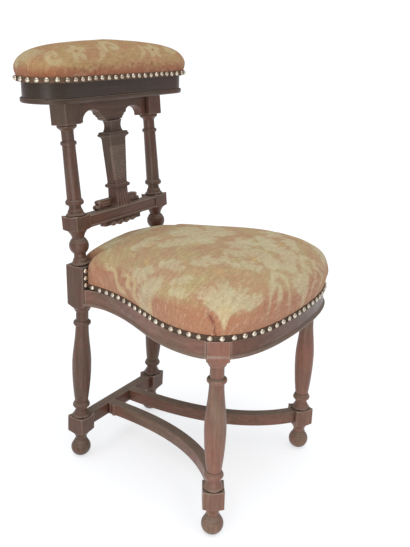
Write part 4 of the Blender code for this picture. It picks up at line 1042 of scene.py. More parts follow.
def box_base(wood):
    """The box's base board, rounded over above and below."""
    base = level_board("box_base_moulding", BOX_HALF_LENGTH + BOX_LIP, BOX_R + BOX_LIP, BOX_BASE_Z, BOX_FLOOR)
    round_over(base, BOX_BASE_Z, 0.0034)
    round_over(base, BOX_FLOOR, 0.0026)
    return dressed(base, wood, ["box_base"])


def leaves_let_in(piece, low, high):
    """Lets the two hinge leaves into a piece, between two corners of (y, z)."""
    half = LEAF_HALF + FIT
    for x in (-HINGE_X, HINGE_X):
        tool = box_solid("leaf_seat", (x - half, *low), (x + half, *high))
        combined(piece, tool, "DIFFERENCE")


def box_wall(wood):
    """The round-ended wall of the box, and the two thin dividers in it."""
    wall = level_board("box_wall_bent", BOX_HALF_LENGTH, BOX_R, BOX_FLOOR + FIT, BOX_TOP)
    length, radius = BOX_HALF_LENGTH - BOX_WALL, BOX_R - BOX_WALL
    hollow = level_board("hollow", length, radius, BOX_FLOOR - 0.01, BOX_TOP + 0.01)
    combined(wall, hollow, "DIFFERENCE")
    eased(wall, 0.0007, 2, 60)
    face = BOX_Y + BOX_R
    leaves_let_in(wall, (face - LEAF_THICK - FIT, HINGE_Z - LEAF_LENGTH - FIT), (face + 0.01, LID_BOTTOM))
    dressed(wall, wood, ["box_wall"])
    for side, word in SIDES:
        x, reach = side * DIVIDER_X, radius - FIT
        low = (x - DIVIDER_THICK / 2, BOX_Y - reach, BOX_FLOOR + FIT)
        high = (x + DIVIDER_THICK / 2, BOX_Y + reach, BOX_FLOOR + FIT + DIVIDER_HEIGHT)
        divider = eased(box_solid(f"thin_divider_{word}", low, high), 0.0012, 3)
        dressed(divider, wood, [f"divider_{word}"])


def lid_board(wood):
    """The board under the lid's pad."""
    length, radius = BOX_HALF_LENGTH + LID_OVERHANG, BOX_R + LID_OVERHANG
    board = level_board("lid_panel", length, radius, LID_BOTTOM, LID_BOTTOM + LID_BOARD_THICK)
    eased(board, 0.0008, 2, 60)
    low = (HINGE_Y - LEAF_LENGTH - FIT, LID_BOTTOM - 0.01)
    high = (HINGE_Y + 0.02, LID_BOTTOM + LEAF_THICK + FIT)
    leaves_let_in(board, low, high)
    return dressed(board, wood, ["lid_board"], "lid")


# Pads


def pad_mesh(name, rings, middle=False):
    """A skin over rings of points, open at its ends unless a middle point closes the last ring."""
    count = len(rings[0])
    points = np.vstack(rings)
    here = np.arange(count)
    after = (here + 1) % count
    faces = []
    for low in range(0, len(points) - count, count):
        faces += [(low + i, low + j, low + count + j, low + count + i) for i, j in zip(here, after)]
    if middle:
        last = len(points) - count
        faces += [(len(points), last + i, last + j) for i, j in zip(here, after)]
        points = np.vstack((points, rings[-1].mean(axis=0)))
    mesh = bpy.data.meshes.new(name)
    mesh.from_pydata(points.tolist(), [], [tuple(int(i) for i in face) for face in faces])
    return placed(name, mesh)


def levelled(plan, z):
    """Points in plan set at a level, or each at its own."""
    return np.column_stack((plan, np.broadcast_to(z, len(plan))))


def drawn_in(place, share):
    """Points in plan drawn in by a share of the way to the seat's middle."""
    return place + (PAD_CENTRE - place) * share


def ends_closed(obj):
    """Closes the open ends of a skin and turns it outwards."""
    with editing(obj):
        bpy.ops.mesh.fill_holes(sides=0)
        bpy.ops.mesh.normals_make_consistent(inside=False)
    return obj


def swollen(obj, pinned, cap):
    """Swells a closed pad with Cloth under pressure. Pinned points stay, and none moves further than cap."""
    group = obj.vertex_groups.new(name="pinned")
    group.add([int(i) for i in np.flatnonzero(pinned)], 1.0, "REPLACE")
    cloth = obj.modifiers.new("cloth", "CLOTH")
    cloth.settings.vertex_group_mass = "pinned"
    cloth.settings.use_pressure = True
    cloth.settings.uniform_pressure_force = CLOTH_PRESSURE
    cloth.settings.effector_weights.gravity = 0.0
    cloth.point_cache.frame_start = 1
    cloth.point_cache.frame_end = CLOTH_FRAMES
    rest = points_of(obj)
    scene = bpy.context.scene
    for number in range(1, CLOTH_FRAMES + 1):
        scene.frame_set(number)
    only(obj)
    bpy.ops.object.modifier_apply(modifier=cloth.name)
    move = points_of(obj) - rest
    length = np.linalg.norm(move, axis=1, keepdims=True)
    set_points(obj, rest + move * np.minimum(1, cap / np.maximum(length, 1e-9)))
    obj.vertex_groups.clear()
    scene.frame_set(1)


def capped(obj):
    """Makes a pad's skin finer and closes its two ends."""
    return ends_closed(applied(obj, "SUBSURF", levels=1, render_levels=1))


def creased(obj, start, end, depth, width):
    """Presses a fold into a cover along a line."""
    points = points_of(obj)
    start, way = np.array(start), np.array(end) - np.array(start)
    share = np.clip(((points - start) @ way) / (way @ way), 0, 1)
    gap = np.linalg.norm(points - (start + share[:, None] * way), axis=1)
    inwards = np.column_stack((PAD_CENTRE - points[:, :2], np.zeros(len(points))))
    inwards /= np.maximum(np.linalg.norm(inwards, axis=1, keepdims=True), 1e-9)
    fold = np.exp(-((gap / width) ** 2)) - 0.45 * np.exp(-(((gap - 2.2 * width) / width) ** 2))
    set_points(obj, points + inwards * (depth * fold)[:, None])


def seat_edge():
    """Round the seat pad: (x, y), outward way, hem level and share of swell, from the front to the right."""
    rows = []
    for u in spread(0, HEM_END, 84):
        place, normal = seat_curve(u)
        rows.append((*place, *normal, HEM_Z, min(1, 4 * (POST_FRONT - place.y) / SEAT_DEPTH)))
    raised = RAIL_TOP + 2 * FIT
    front = POST_FRONT - FIT
    corners = [(SEAT_HALF_REAR, front, HEM_Z), (SEAT_HALF_REAR - COVER_THICK, front, raised)]
    corners += [(RAIL_REACH, front, raised), (RAIL_REACH, REAR_HEM_Y - COVER_THICK, raised)]
    corners += [(RAIL_REACH, REAR_HEM_Y, HEM_Z), (0, REAR_HEM_Y, HEM_Z)]
    for start, end in zip(corners, corners[1:]):
        count = max(1, round(math.dist(start[:2], end[:2]) / 0.006))
        for share in spread(0, 1, count)[:-1]:
            x, y, z = Vector(start).lerp(Vector(end), share)
            rows.append((x, y, 1, 0, z, 0))
    rows.append((*corners[-1][:2], 1, 0, HEM_Z, 0))
    rows = np.array(rows)
    return np.vstack((rows, rows[-2:0:-1] * (-1, 1, -1, 1, 1, 1)))


def seat_rows():
    """Rows up the pad: share drawn in to its middle, share of swell and share of the crown."""
    side = [(0, 0, 0), (0, 0, BAND_SHARE), (0, 0.8, 0.275), (0.004, 1, 0.43), (0.022, 0.7, 0.59)]
    top = [(0.075, 0, 0.725), (0.18, 0, 0.835), (0.38, 0, 0.925), (0.64, 0, 0.98), (0.88, 0, 1)]
    return through(side + top, 5) + [(0.96, 0, 1.0)]


def crown_share(plan):
    """The pad's height at points in plan: it is pulled down beside the posts."""
    distance = np.hypot(np.abs(plan[:, 0]) - POST_SPREAD, plan[:, 1] - POST_Y)
    return 1 - (1 - SEAT_REAR_SHARE) * np.exp(-np.maximum(0, distance - HALF) / SEAT_REAR_RISE)


def seat_rings():
    """Rings of the seat's pad: its floor from the middle out, its skirt, and its cover from the hem up."""
    edge = seat_edge()
    place, normal, hem, swell = edge[:, :2], edge[:, 2:4], edge[:, 4], edge[:, 5]
    under = RAIL_TOP + 2 * FIT + CANVAS_THICK
    floor = ((0.96, 1), (0.80, 1), (0.50, 1), (0.22, 1), (0.13, 0.5), (0.04, 0))
    rings = [levelled(drawn_in(place, inset), under + CANVAS_LIFT * lift) for inset, lift in floor]
    skirt = drawn_in(place, SKIRT_IN)
    rings += [levelled(skirt, hem + np.maximum(0, under - hem) * share) for share in (1, 0.5, 0)]
    band = HEM_Z + TRIM_HEIGHT
    for number, (inset, out, rise) in enumerate(seat_rows()):
        plan = drawn_in(place, inset) + normal * (SEAT_SWELL * out * swell)[:, None]
        top = HEM_Z + SEAT_CROWN * crown_share(plan)
        z = HEM_Z + TRIM_HEIGHT * rise / BAND_SHARE
        if rise > BAND_SHARE:
            z = band + (top - band) * (rise - BAND_SHARE) / (1 - BAND_SHARE)
        rings.append(levelled(plan, np.maximum(z, hem + HEM_STEP * number / 5)))
    return rings


def lid_rows():
    """Rows up the lid's pad: round end radius, share of the straight, height over the hem."""
    hem, swell, rise = LID_HEM_R, LID_PAD_SWELL, LID_PAD_HEIGHT
    rows = [(hem, 1.0, 0), (hem, 1.0, TRIM_HEIGHT), (hem + swell * 0.8, 1.0, rise * 0.27)]
    rows += [(hem + swell, 0.99, rise * 0.42), (hem - swell * 0.3, 0.955, rise * 0.60)]
    rows += [(hem * 0.84, 0.88, rise * 0.76), (hem * 0.62, 0.71, rise * 0.89)]
    return through(rows + [(hem * 0.32, 0.43, rise * 0.975), (hem * 0.12, 0.18, rise)], 6)


def lid_ring(straight, radius, z, along=60, round_end=36):
    """A fine ring with straight sides and round ends at one level."""
    points = []
    for side, start in ((1, -90), (-1, 90)):
        points += arc(side * straight, BOX_Y, radius, radius, start, start + 180, round_end)
        points += [(side * straight * share, BOX_Y + side * radius) for share in spread(1, -1, along)[1:-1]]
    return levelled(points, z)


def lid_rings():
    """Rings of the lid's pad: its floor from the middle out, its skirt, and its cover from the hem up."""
    straight = BOX_HALF_LENGTH - BOX_R
    under = LID_BOTTOM + LID_BOARD_THICK + FIT
    skirt = LID_HEM_R - 0.0022
    sizes = [(skirt * share, share, under) for share in (0.1, 0.4, 0.8, 0.95, 1)]
    sizes += [(skirt, 1, LID_HEM_Z + (under - LID_HEM_Z) * share) for share in (0.5, 0)]
    sizes += [(radius, share, LID_HEM_Z + height) for radius, share, height in lid_rows()]
    return [lid_ring(straight * share, radius, z) for radius, share, z in sizes]


# Needlepoint pattern


def flat_seat(points):
    """Points of the seat, laid flat about the pad's middle."""
    return laid_flat(points, PAD_CENTRE, HEM_Z + SEAT_CROWN)


def laid_flat(points, middle, top):
    """Where points of a cover lie once it is laid flat about a middle place or line."""
    away = points[:, :2] - middle
    reach = np.maximum(np.linalg.norm(away, axis=1, keepdims=True), 1e-6)
    return points[:, :2] + away / reach * FLAT_SHARE * (top - points[:, 2:3])


def flat_lid(points):
    """Points of the lid, laid flat about its long middle."""
    straight = BOX_HALF_LENGTH - BOX_R
    middle = np.column_stack((np.clip(points[:, 0], -straight, straight), np.full(len(points), BOX_Y)))
    return laid_flat(points, middle, LID_HEM_Z + LID_PAD_HEIGHT)


def unit(way):
    """A direction of length one."""
    return way / max(np.linalg.norm(way), 1e-9)


def turned_way(way, degrees):
    """A flat direction turned to the left."""
    c, s = math.cos(math.radians(degrees)), math.sin(math.radians(degrees))
    return np.array((c * way[0] - s * way[1], s * way[0] + c * way[1]))


def bowed(base, tip, bend):
    """Points of a line from base to tip that bows to one side, and their shares of the way."""
    base, way = np.array(base), np.array(tip) - np.array(base)
    t = np.linspace(0, 1, 26)
    return base + way * t[:, None] + np.array((-way[1], way[0])) * bend * (4 * t * (1 - t))[:, None], t


class Pattern:
    """Stitched motifs on a cover: how much of each wool lies at each point."""

    WOOLS = ("leaf", "gold", "line", "side")

    def __init__(self, obj, flatten, middle=(0, 0)):
        self.flat = flatten(points_of(obj))
        place = self.flat - middle
        waver = np.sin(place[:, ::-1] * 61 + 0.7) * 0.0024 + np.sin(place[:, ::-1] * 173) * 0.0009
        self.bent = place + waver
        self.wools = {wool: np.zeros(len(self.flat)) for wool in self.WOOLS}

    def lay(self, wool, near, cover):
        """Lays wool over some points, at least as thickly as it lies there."""
        self.wools[wool][near] = np.maximum(self.wools[wool][near], np.clip(cover, 0, 1))

    def stroke(self, wool, spine, widths, soft=0.0036, strength=1.0):
        """Fills what lies within a tapering width of a spine."""
        reach = widths.max() + soft
        low, high = spine.min(axis=0) - reach, spine.max(axis=0) + reach
        near = np.flatnonzero(((self.bent > low) & (self.bent < high)).all(axis=1))
        if len(near):
            gap = np.linalg.norm(self.bent[near][:, None] - spine[None], axis=2) - widths
            self.lay(wool, near, np.clip(0.5 - gap.min(axis=1) / soft, 0, 1) * strength)

    def leaf(self, wool, base, tip, width, bend=0.0, **kind):
        """A pointed leaf from base to tip, bent to one side."""
        spine, t = bowed(base, tip, bend)
        self.stroke(wool, spine, width * np.sin(np.pi * t**0.8) ** 0.8, **kind)

    def acanthus(self, base, tip, width, bend=0.0, **kind):
        """A long leaf with lobes on both sides of a bowed rib, and a gold vein."""
        spine, t = bowed(base, tip, bend)
        self.stroke("leaf", spine, width * 0.5 * np.sin(np.pi * t**0.7) ** 0.7, **kind)
        lobes = max(2, round(math.dist(base, tip) / (1.25 * width)))
        for share in np.linspace(0.10, 0.80, lobes):
            k = int(share * (len(spine) - 2))
            way = unit(spine[k + 1] - spine[k])
            length = width * 1.6 * math.sin(math.pi * (0.25 + 0.62 * share))
            for side in (-1, 1):
                out = turned_way(way, side * 54)
                self.leaf("leaf", spine[k], spine[k] + out * length, width * 0.40, side * 0.16, **kind)
        self.stroke("line", spine[3:-6], np.full(len(spine) - 9, 0.0003), strength=0.22)

    def palmette(self, base, tip, opening, lobes, scallop):
        """A fan of feathery strands: gold at its foot, cream to its ragged edge."""
        base = np.array(base)
        way = np.array(tip) - base
        count = 7 * lobes
        spacing = np.linalg.norm(way) * math.radians(opening) / count
        for i in range(count):
            across = 2 * i / (count - 1) - 1
            rib = abs(math.sin(math.pi * lobes * (across + 1) / 2))
            ragged = (1 - scallop + scallop * rib**0.6) * (0.94 + 0.07 * math.sin(9.1 * i))
            length = (1 - 0.16 * across**2) * ragged
            spine, t = bowed(base, base + turned_way(way * length, across * opening / 2), -0.10 * across)
            widths = spacing * (0.16 + 0.40 * t) * np.sqrt(1 - np.clip((t - 0.75) / 0.25, 0, 1) ** 2)
            self.stroke("leaf", spine, widths, soft=0.0030, strength=0.74 + 0.26 * math.sin(5.7 * i) ** 2)
            self.stroke("gold", spine[:10], 0.8 * widths[:10], strength=0.36 * (i % 3 != 1))
            if i % 4 == 1:
                self.stroke("line", spine[8:-6], np.full(len(spine) - 14, 0.0002), strength=0.25)

    def feather(self, points, width, gold):
        """A waving plume of a few strands, each thickest in its middle, with some gold in it."""
        for i in range(4):
            shift = (i - 1.5) * 0.5 * width
            strand = []
            for k, place in enumerate(points):
                strand.append(place + (shift * math.cos(2.1 * k), shift * math.sin(1.7 * k + 1)))
            spine = np.array(through(strand, 10))
            swell = np.sin(np.pi * np.linspace(0.08, 0.92, len(spine))) ** 0.7
            self.stroke("leaf", spine, 0.42 * width * swell, strength=0.62 + 0.30 * math.sin(4.3 * i) ** 2)
            self.stroke("gold", spine, 0.26 * width * swell, strength=gold)

    def scroll(self, centre, radius, start, turns, hand, width, **kind):
        """A curling tendril that ends in an eye."""
        t = np.linspace(0, 1, 44)
        angle = math.radians(start) + hand * 2 * np.pi * turns * t
        ways = np.column_stack((np.cos(angle), np.sin(angle)))
        spine = np.array(centre) + ways * radius * (1 - 0.8 * t)[:, None]
        self.stroke("leaf", spine, width * (0.5 + 0.5 * np.sin(np.pi * (0.15 + 0.8 * t))), **kind)

    def flower(self, centre, radius, petals, start=0.0, **kind):
        """A round flower with a gold eye."""
        for i in range(petals):
            out = turned_way(np.array((radius, 0)), start + 360 * i / petals)
            self.leaf("leaf", centre + out * 0.18, centre + out, radius * 0.30, **kind)
        eye = (radius * 0.22, 0)
        self.leaf("gold", centre - eye, centre + eye, radius * 0.2, strength=0.8)

    def write(self, obj):
        """Keeps the wools as a colour attribute and the flat cloth as a UV map."""
        data = np.column_stack([self.wools[wool] for wool in self.WOOLS])
        colours = obj.data.color_attributes.new("pattern", "FLOAT_COLOR", "POINT")
        colours.data.foreach_set("color", np.ascontiguousarray(data).ravel())
        corners = np.empty(len(obj.data.loops), int)
        obj.data.loops.foreach_get("vertex_index", corners)
        layer = obj.data.uv_layers.new(name="cloth")
        layer.data.foreach_set("uv", np.ascontiguousarray(self.flat[corners]).ravel())


def both_sides(*places):
    """Flat places, and their mirror images across the chair's middle, each with the side that it is on."""
    return ((1, [np.array(place) for place in places]), (-1, [np.array((-x, y)) for x, y in places]))


def seat_palmettes(cloth):
    """Palmettes that stand on the seat's hem."""
    fans = (
        ((-0.286, -0.022), (-0.200, 0.010), 84, 3, 0.16),
        ((-0.252, -0.216), (-0.162, -0.142), 86, 3, 0.30),
        ((0.0, -0.305), (0.0, -0.215), 80, 3, 0.24),
        ((-0.10, 0.235), (-0.08, 0.165), 80, 3, 0.24),
    )
    for base, tip, opening, lobes, scallop in fans:
        for _, (low, high) in both_sides(base, tip):
            cloth.palmette(low, high, opening, lobes, scallop)


def seat_plumes(cloth):
    """Flames beside the palmettes, an arch between them, and wisps along the front hem."""
    flames = (
        ((-0.225, 0.100), (-0.208, 0.135), (-0.184, 0.140), (-0.172, 0.172)),
        ((-0.236, 0.062), (-0.214, 0.090), (-0.204, 0.082), (-0.190, 0.112)),
        ((-0.262, 0.026), (-0.240, 0.056), (-0.222, 0.050), (-0.206, 0.078)),
    )
    arch = ((-0.152, -0.262), (-0.098, -0.222), (-0.066, -0.204), (-0.046, -0.226), (-0.074, -0.276))
    curl = ((-0.118, -0.262), (-0.094, -0.246), (-0.084, -0.232), (-0.094, -0.222))
    for plumes, width, gold in ((flames, 0.0092, 0.60), ((arch, curl), 0.0095, 0.12)):
        for points in plumes:
            for _, spots in both_sides(*points):
                cloth.feather(spots, width, gold)
    wisps = (
        ((-0.020, -0.292), (0.008, -0.272), (0.016, -0.262), (0.040, -0.246)),
        ((0.034, -0.294), (0.052, -0.272), (0.064, -0.270), (0.080, -0.250)),
        ((0.092, -0.294), (0.098, -0.276), (0.110, -0.270), (0.118, -0.252)),
    )
    for points in wisps:
        cloth.feather([np.array(place) for place in points], 0.0060, 0.30)


def seat_leaves(cloth):
    """Lobed leaves scattered over the top of the seat."""
    leaves = (
        ((-0.036, 0.070), (0.036, -0.044), 0.022, 0.10),
        ((-0.052, 0.030), (-0.020, -0.044), 0.013, -0.15),
        ((0.004, -0.062), (0.014, -0.118), 0.015, 0.20),
        ((-0.060, -0.080), (-0.026, -0.132), 0.014, -0.20),
        ((0.010, -0.118), (0.030, -0.214), 0.017, 0.16),
        ((-0.062, -0.180), (0.008, -0.238), 0.015, 0.22),
        ((-0.152, -0.080), (-0.090, -0.120), 0.018, 0.20),
        ((-0.200, 0.072), (-0.172, 0.004), 0.016, -0.18),
        ((-0.172, 0.004), (-0.186, -0.062), 0.014, 0.22),
        ((-0.214, -0.056), (-0.176, -0.088), 0.010, -0.2),
        ((-0.104, 0.044), (-0.058, -0.010), 0.016, 0.22),
        ((-0.118, 0.112), (-0.052, 0.082), 0.015, -0.2),
        ((-0.240, -0.070), (-0.246, -0.118), 0.009, 0.2),
        ((-0.204, -0.226), (-0.140, -0.244), 0.010, 0.2),
        ((-0.118, -0.130), (-0.078, -0.190), 0.014, 0.2),
        ((-0.044, 0.150), (0.030, 0.140), 0.015, 0.15),
    )
    for base, tip, width, bend in leaves:
        for side, (low, high) in both_sides(base, tip):
            cloth.acanthus(low, high, width, bend * side, strength=0.9)


def seat_spots(cloth):
    """A few worn gold spots, and short leaves along the rear."""
    step = (0.010, 0.004)
    for spot in ((-0.100, 0.075), (-0.163, 0.040), (-0.058, -0.018), (-0.058, -0.146), (-0.150, -0.130)):
        for _, (middle,) in both_sides(spot):
            cloth.leaf("gold", middle - step, middle + step, 0.006, soft=0.008, strength=0.6)
    for x in (-0.150, -0.118, -0.090):
        for _, ends in both_sides((x, 0.172), (x * 0.45, 0.140)):
            cloth.leaf("leaf", *ends, 0.0040, 0.1, strength=0.6)


def seat_pattern(obj):
    """Needlepoint of the seat, and painted shade along the crease that runs down to its left front corner."""
    cloth = Pattern(obj, flat_seat, PAD_CENTRE)
    points = points_of(obj)
    height = points[:, 2] - HEM_Z
    wander = 0.012 * np.sin(cloth.flat[:, 0] * 31 + 2) * np.sin(cloth.flat[:, 1] * 27)
    faded = np.clip(1.1 - 3.2 * points[:, 0], 0.25, 1)
    cloth.wools["side"][:] = np.clip((0.066 + wander - height) / 0.016, 0, 1) * faded
    for motifs in (seat_palmettes, seat_plumes, seat_leaves, seat_spots):
        motifs(cloth)
    # Dark wool along the fold: painted shade in the crease.
    ends = flat_seat(np.array(SEAT_FOLD_LINE)) - PAD_CENTRE
    cloth.leaf("line", *ends, 0.0024, 0.08, strength=1.0)
    cloth.write(obj)


def lid_specks(cloth):
    """Dark worn specks scattered over the lid's band, front and back."""
    chance = np.random.default_rng(11)
    step = (0.001, 0.002)
    for x, rise, size, worn in chance.random((170, 4)):
        front = 1 if x > 0.5 else -1
        away = LID_HEM_R + FLAT_SHARE * (LID_PAD_HEIGHT - 0.008 - 0.020 * rise)
        spot = np.array((0.88 * (2 * x % 1) - 0.44, front * away)) * (0.55, 1)
        cloth.leaf("line", spot - step, spot + step, 0.0006 + 0.0014 * size, strength=0.5 + 0.5 * worn)


def lid_motifs(cloth):
    """A leaf at each end of the lid, and cream rings, crescents and flowers between."""
    for side in (-1, 1):
        cloth.palmette((side * 0.262, -0.020), (side * 0.196, 0.010), 80, 3, 0.2)
        cloth.acanthus((side * 0.252, 0.044), (side * 0.188, 0.026), 0.016, 0.2 * side)
    rings = ((-0.205, 0.054, 0.022, 70), (-0.036, 0.048, 0.026, 150), (0.150, 0.052, 0.020, 40))
    for front in (-1, 1):
        for x, y, radius, start in rings:
            cloth.scroll(np.array((x, front * y)), radius, front * start, 0.95, front, 0.0085, strength=0.95)
        for x, y, radius in ((-0.142, 0.064, 0.027), (0.088, 0.062, 0.026)):
            cloth.flower(np.array((x, front * y)), radius, 5, 20, strength=0.95)
            cloth.leaf("line", (x - 0.003, front * y), (x + 0.003, front * y), 0.003, strength=0.7)
        for x in (-0.092, 0.034):
            crescent = ((x, 0.084), (x + 0.020, 0.066), (x + 0.014, 0.040))
            cloth.feather([np.array((along, front * y)) for along, y in crescent], 0.0085, 0.1)
    for x in (-0.130, -0.050, 0.030, 0.110):
        cloth.acanthus((x, -0.010), (x + 0.046, 0.010), 0.014, 0.2, strength=0.8)


def lid_pattern(obj):
    """Needlepoint of the lid: motifs on tan, over a rust band with dark specks."""
    cloth = Pattern(obj, flat_lid, (0, BOX_Y))
    points = points_of(obj)
    height = points[:, 2] - LID_HEM_Z
    edge = 0.030 + 0.004 * np.sin(points[:, 0] * 61) * np.sin(points[:, 1] * 47 + 1)
    cloth.wools["side"][:] = np.clip((edge - height) / 0.014, 0, 1)
    cloth.lay("line", slice(None), 0.62 * np.clip((0.027 - height) / 0.024, 0, 1))
    lid_specks(cloth)
    lid_motifs(cloth)
    cloth.write(obj)


def seat_pad(wool):
    """The stuffed seat under its needlepoint cover."""
    obj = pad_mesh("needlepoint_seat", seat_rings())
    points = points_of(obj)
    near_post = np.hypot(np.abs(points[:, 0]) - POST_SPREAD, points[:, 1] - POST_Y) < 0.050
    hem = points[:, 2] < HEM_Z + 1.4 * TRIM_HEIGHT
    floor = np.arange(len(points)) < 9 * len(seat_edge())
    swollen(obj, near_post | hem | floor, 0.004)
    capped(obj)
    creased(obj, *SEAT_FOLD, 0.0028, 0.0026)
    seat_pattern(obj)
    dressed(obj, wool, ["seat_cover", "seat_stuffing"], angle=75, crisp=False)


def lid_pad(wool):
    """The stuffed lid under its needlepoint cover."""
    rings = lid_rings()
    obj = pad_mesh("needlepoint_lid", rings)
    points = points_of(obj)
    floor = np.arange(len(points)) < 7 * len(rings[0])
    swollen(obj, floor | (points[:, 2] < LID_HEM_Z + 1.3 * TRIM_HEIGHT), 0.003)
    capped(obj)
    lid_pattern(obj)
    dressed(obj, wool, ["lid_cover", "lid_stuffing"], "lid", angle=75, crisp=False)


# Braid and nails


def braid_section(z):
    """A gimp braid: a flat band between two cords."""
    cord, flat = 0.0012, 0.7 * TRIM_THICK
    low = [(0, z)] + arc(0.0002, z + cord, cord, cord, -85.94, 85.94, 5) + [(flat, z + 0.0031)]
    return low + [(x, 2 * z + TRIM_HEIGHT - level) for x, level in reversed(low)]


def seat_braid(cloth):
    """Braid round the seat's hem, along its rear and up the posts."""
    section = braid_section(HEM_Z)
    pieces = [run_along("seat_gimp", seat_path(-HEM_END, HEM_END, FIT, 220), section)]
    rear = [(RAIL_REACH - 0.001, REAR_HEM_Y + FIT), (-RAIL_REACH + 0.001, REAR_HEM_Y + FIT)]
    pieces.append(run_along("rear_gimp", rear, section))
    for side in (-1, 1):
        x = side * (SEAT_HALF_REAR + POST_GIMP_OUT)
        low = (x - POST_GIMP_HALF, POST_FRONT - POST_GIMP_PROUD, HEM_Z + 0.001)
        high = (x + POST_GIMP_HALF, POST_FRONT - FIT, POST_GIMP_TOP)
        pieces.append(eased(box_solid("post_gimp", low, high), 0.0005))
    dressed(joined(pieces), cloth, ["seat_braid"], angle=50)


def lid_hem(out, count):
    """The path round the lid's hem, moved outwards."""
    return stadium(BOX_HALF_LENGTH - BOX_R + LID_HEM_R + out, LID_HEM_R + out, count)


def lid_braid(cloth):
    """Braid round the lid's hem."""
    gimp = run_along("lid_gimp", lid_hem(FIT, 36), braid_section(LID_HEM_Z), True)
    dressed(gimp, cloth, ["lid_braid"], "lid", angle=50)


def spaced(path, pitch, closed):
    """Places and outward directions at about an even pitch along a path."""
    points = np.array(path)
    if closed:
        points = np.vstack((points, points[:1]))
    steps = np.linalg.norm(np.diff(points, axis=0), axis=1)
    run = np.concatenate(([0], np.cumsum(steps)))
    count = max(1, round(run[-1] / pitch))
    found = []
    for i in range(count):
        wander = 0.06 * math.sin(7.3 * i) * pitch
        at = run[-1] * (i + 0.5) / count + wander
        k = min(np.searchsorted(run, at) - 1, len(steps) - 1)
        way = (points[k + 1] - points[k]) / steps[k]
        found.append((points[k] + way * (at - run[k]), np.array((way[1], -way[0]))))
    return found


def nail(radius):
    """One domed nail that looks along +Z."""
    dome = arc(0, 0, radius, NAIL_RISE, 0, 90, 6)
    profile = [(0, -0.0004), (radius - 0.0004, -0.0004)] + dome[:-1] + [(0, NAIL_RISE)]
    return turned("nail", profile, 14)


def facing(place, out):
    """A frame at a place whose Z axis looks out level."""
    z = Vector((*out, 0)).normalized()
    x = Vector((0, 0, 1)).cross(z)
    matrix = Matrix((x, z.cross(x), z)).transposed().to_4x4()
    matrix.translation = place
    return matrix


def nails(name, places, radius, metal, body):
    """One nail copied to all its places, none quite straight."""
    pattern = nail(radius)
    copies = []
    for i, (place, out) in enumerate(places):
        lift = 0.0006 * math.sin(5.1 * i)
        lean = Matrix.Rotation(0.12 * math.sin(3.7 * i), 4, "X")
        lean = lean @ Matrix.Rotation(0.12 * math.cos(2.9 * i), 4, "Y")
        copies.append(copied(pattern, facing((*place[:2], place[2] + lift), out) @ lean))
    bpy.data.objects.remove(pattern)
    row = named(joined(copies), name)
    dressed(row, metal, body=body, angle=60, crisp=False)


def nail_row(path, pitch, hem, closed=False):
    """Places of nails along a braid, with the ways that they face."""
    z = hem + TRIM_HEIGHT / 2
    return [((*place, z), way) for place, way in spaced(path, pitch, closed)]


def all_nails(metal):
    """The nails of the seat, of its posts and of the lid."""
    out = FIT + TRIM_THICK
    rear = [(RAIL_REACH, REAR_HEM_Y + out), (-RAIL_REACH, REAR_HEM_Y + out)]
    seat = nail_row(seat_path(-HEM_END, HEM_END, out, 400), SEAT_NAIL_PITCH, HEM_Z)
    seat += nail_row(rear, SEAT_NAIL_PITCH, HEM_Z)
    for side in (-1, 1):
        x = side * (SEAT_HALF_REAR + POST_GIMP_OUT)
        seat += [((x, POST_FRONT - POST_GIMP_PROUD, z), np.array((0, -1))) for z in POST_NAIL_LEVELS]
    nails("seat_nails", seat, NAIL_R, metal, "chair")
    lid = nail_row(lid_hem(out, 60), LID_NAIL_PITCH, LID_HEM_Z, True)
    nails("lid_nails", lid, LID_NAIL_R, metal, "lid")


# Springs, webbing and canvas under the seat


def halved(value_at, target, low, high):
    """Where a rising value reaches a target, found by halving."""
    for _ in range(40):
        middle = (low + high) / 2
        if value_at(middle) < target:
            low = middle
        else:
            high = middle
    return low


def half_width_at(y):
    """Half the seat's width at a distance along the chair."""
    return seat_curve(halved(lambda u: seat_curve(u)[0].y, y, 0.0, 2.0))[0].x


def front_at(x):
    """Where the seat's front lies at a distance from its middle."""
    return seat_curve(halved(lambda u: seat_curve(u)[0].x, x, 0.0, 1.0))[0].y


def strap(name, points, across, jute):
    """A woven strap along points, with thicker selvedges."""
    half = WEB_WIDTH / 2
    section = [(-half, 0), (half, 0), (half, 0.0013), (half - 0.002, 0.0015), (half - 0.004, 0.0012)]
    section += [(-x, z) for x, z in reversed(section[3:])] + [(-half, 0.0013)]
    rings = [np.array([point + across * x + Vector((0, 0, z)) for x, z in section]) for point in points]
    obj = ends_closed(pad_mesh(name, rings))
    dressed(obj, jute, [name.replace("woven_", "")], angle=30)


def webbing(jute):
    """Three straps each way under the rails, woven over and under each other."""
    level = RAIL_BOTTOM - FIT - WEB_THICK
    lap = WEB_THICK + FIT
    margin = RAIL_THICK * WEB_MARGIN
    for i, x in enumerate(WEB_X):
        ends = (front_at(abs(x)) + margin, POST_Y + REAR_RAIL_THICK / 2 - FIT)
        points = [Vector((x, y, level)) for y in spread(*ends, 30)]
        strap(f"woven_web_length_{i + 1}", points, Vector((1, 0, 0)), jute)
    for i, forward in enumerate(WEB_FORWARD):
        y = POST_Y - forward
        narrow = min(half_width_at(y - WEB_WIDTH / 2), half_width_at(y + WEB_WIDTH / 2))
        nodes = [(-narrow + margin, 0), (-narrow + RAIL_THICK, 0)]
        for j, x in enumerate(WEB_X):
            over = 1 if (i + j) % 2 == 0 else -1
            nodes += [(x - WEB_WIDTH / 2 - 2 * FIT, over * lap), (x + WEB_WIDTH / 2 + 2 * FIT, over * lap)]
        nodes += [(narrow - RAIL_THICK, 0), (narrow - margin, 0)]
        points = [Vector((x, y, level + lift)) for x, lift in sorted(nodes)]
        strap(f"woven_web_cross_{i + 1}", points, Vector((0, 1, 0)), jute)


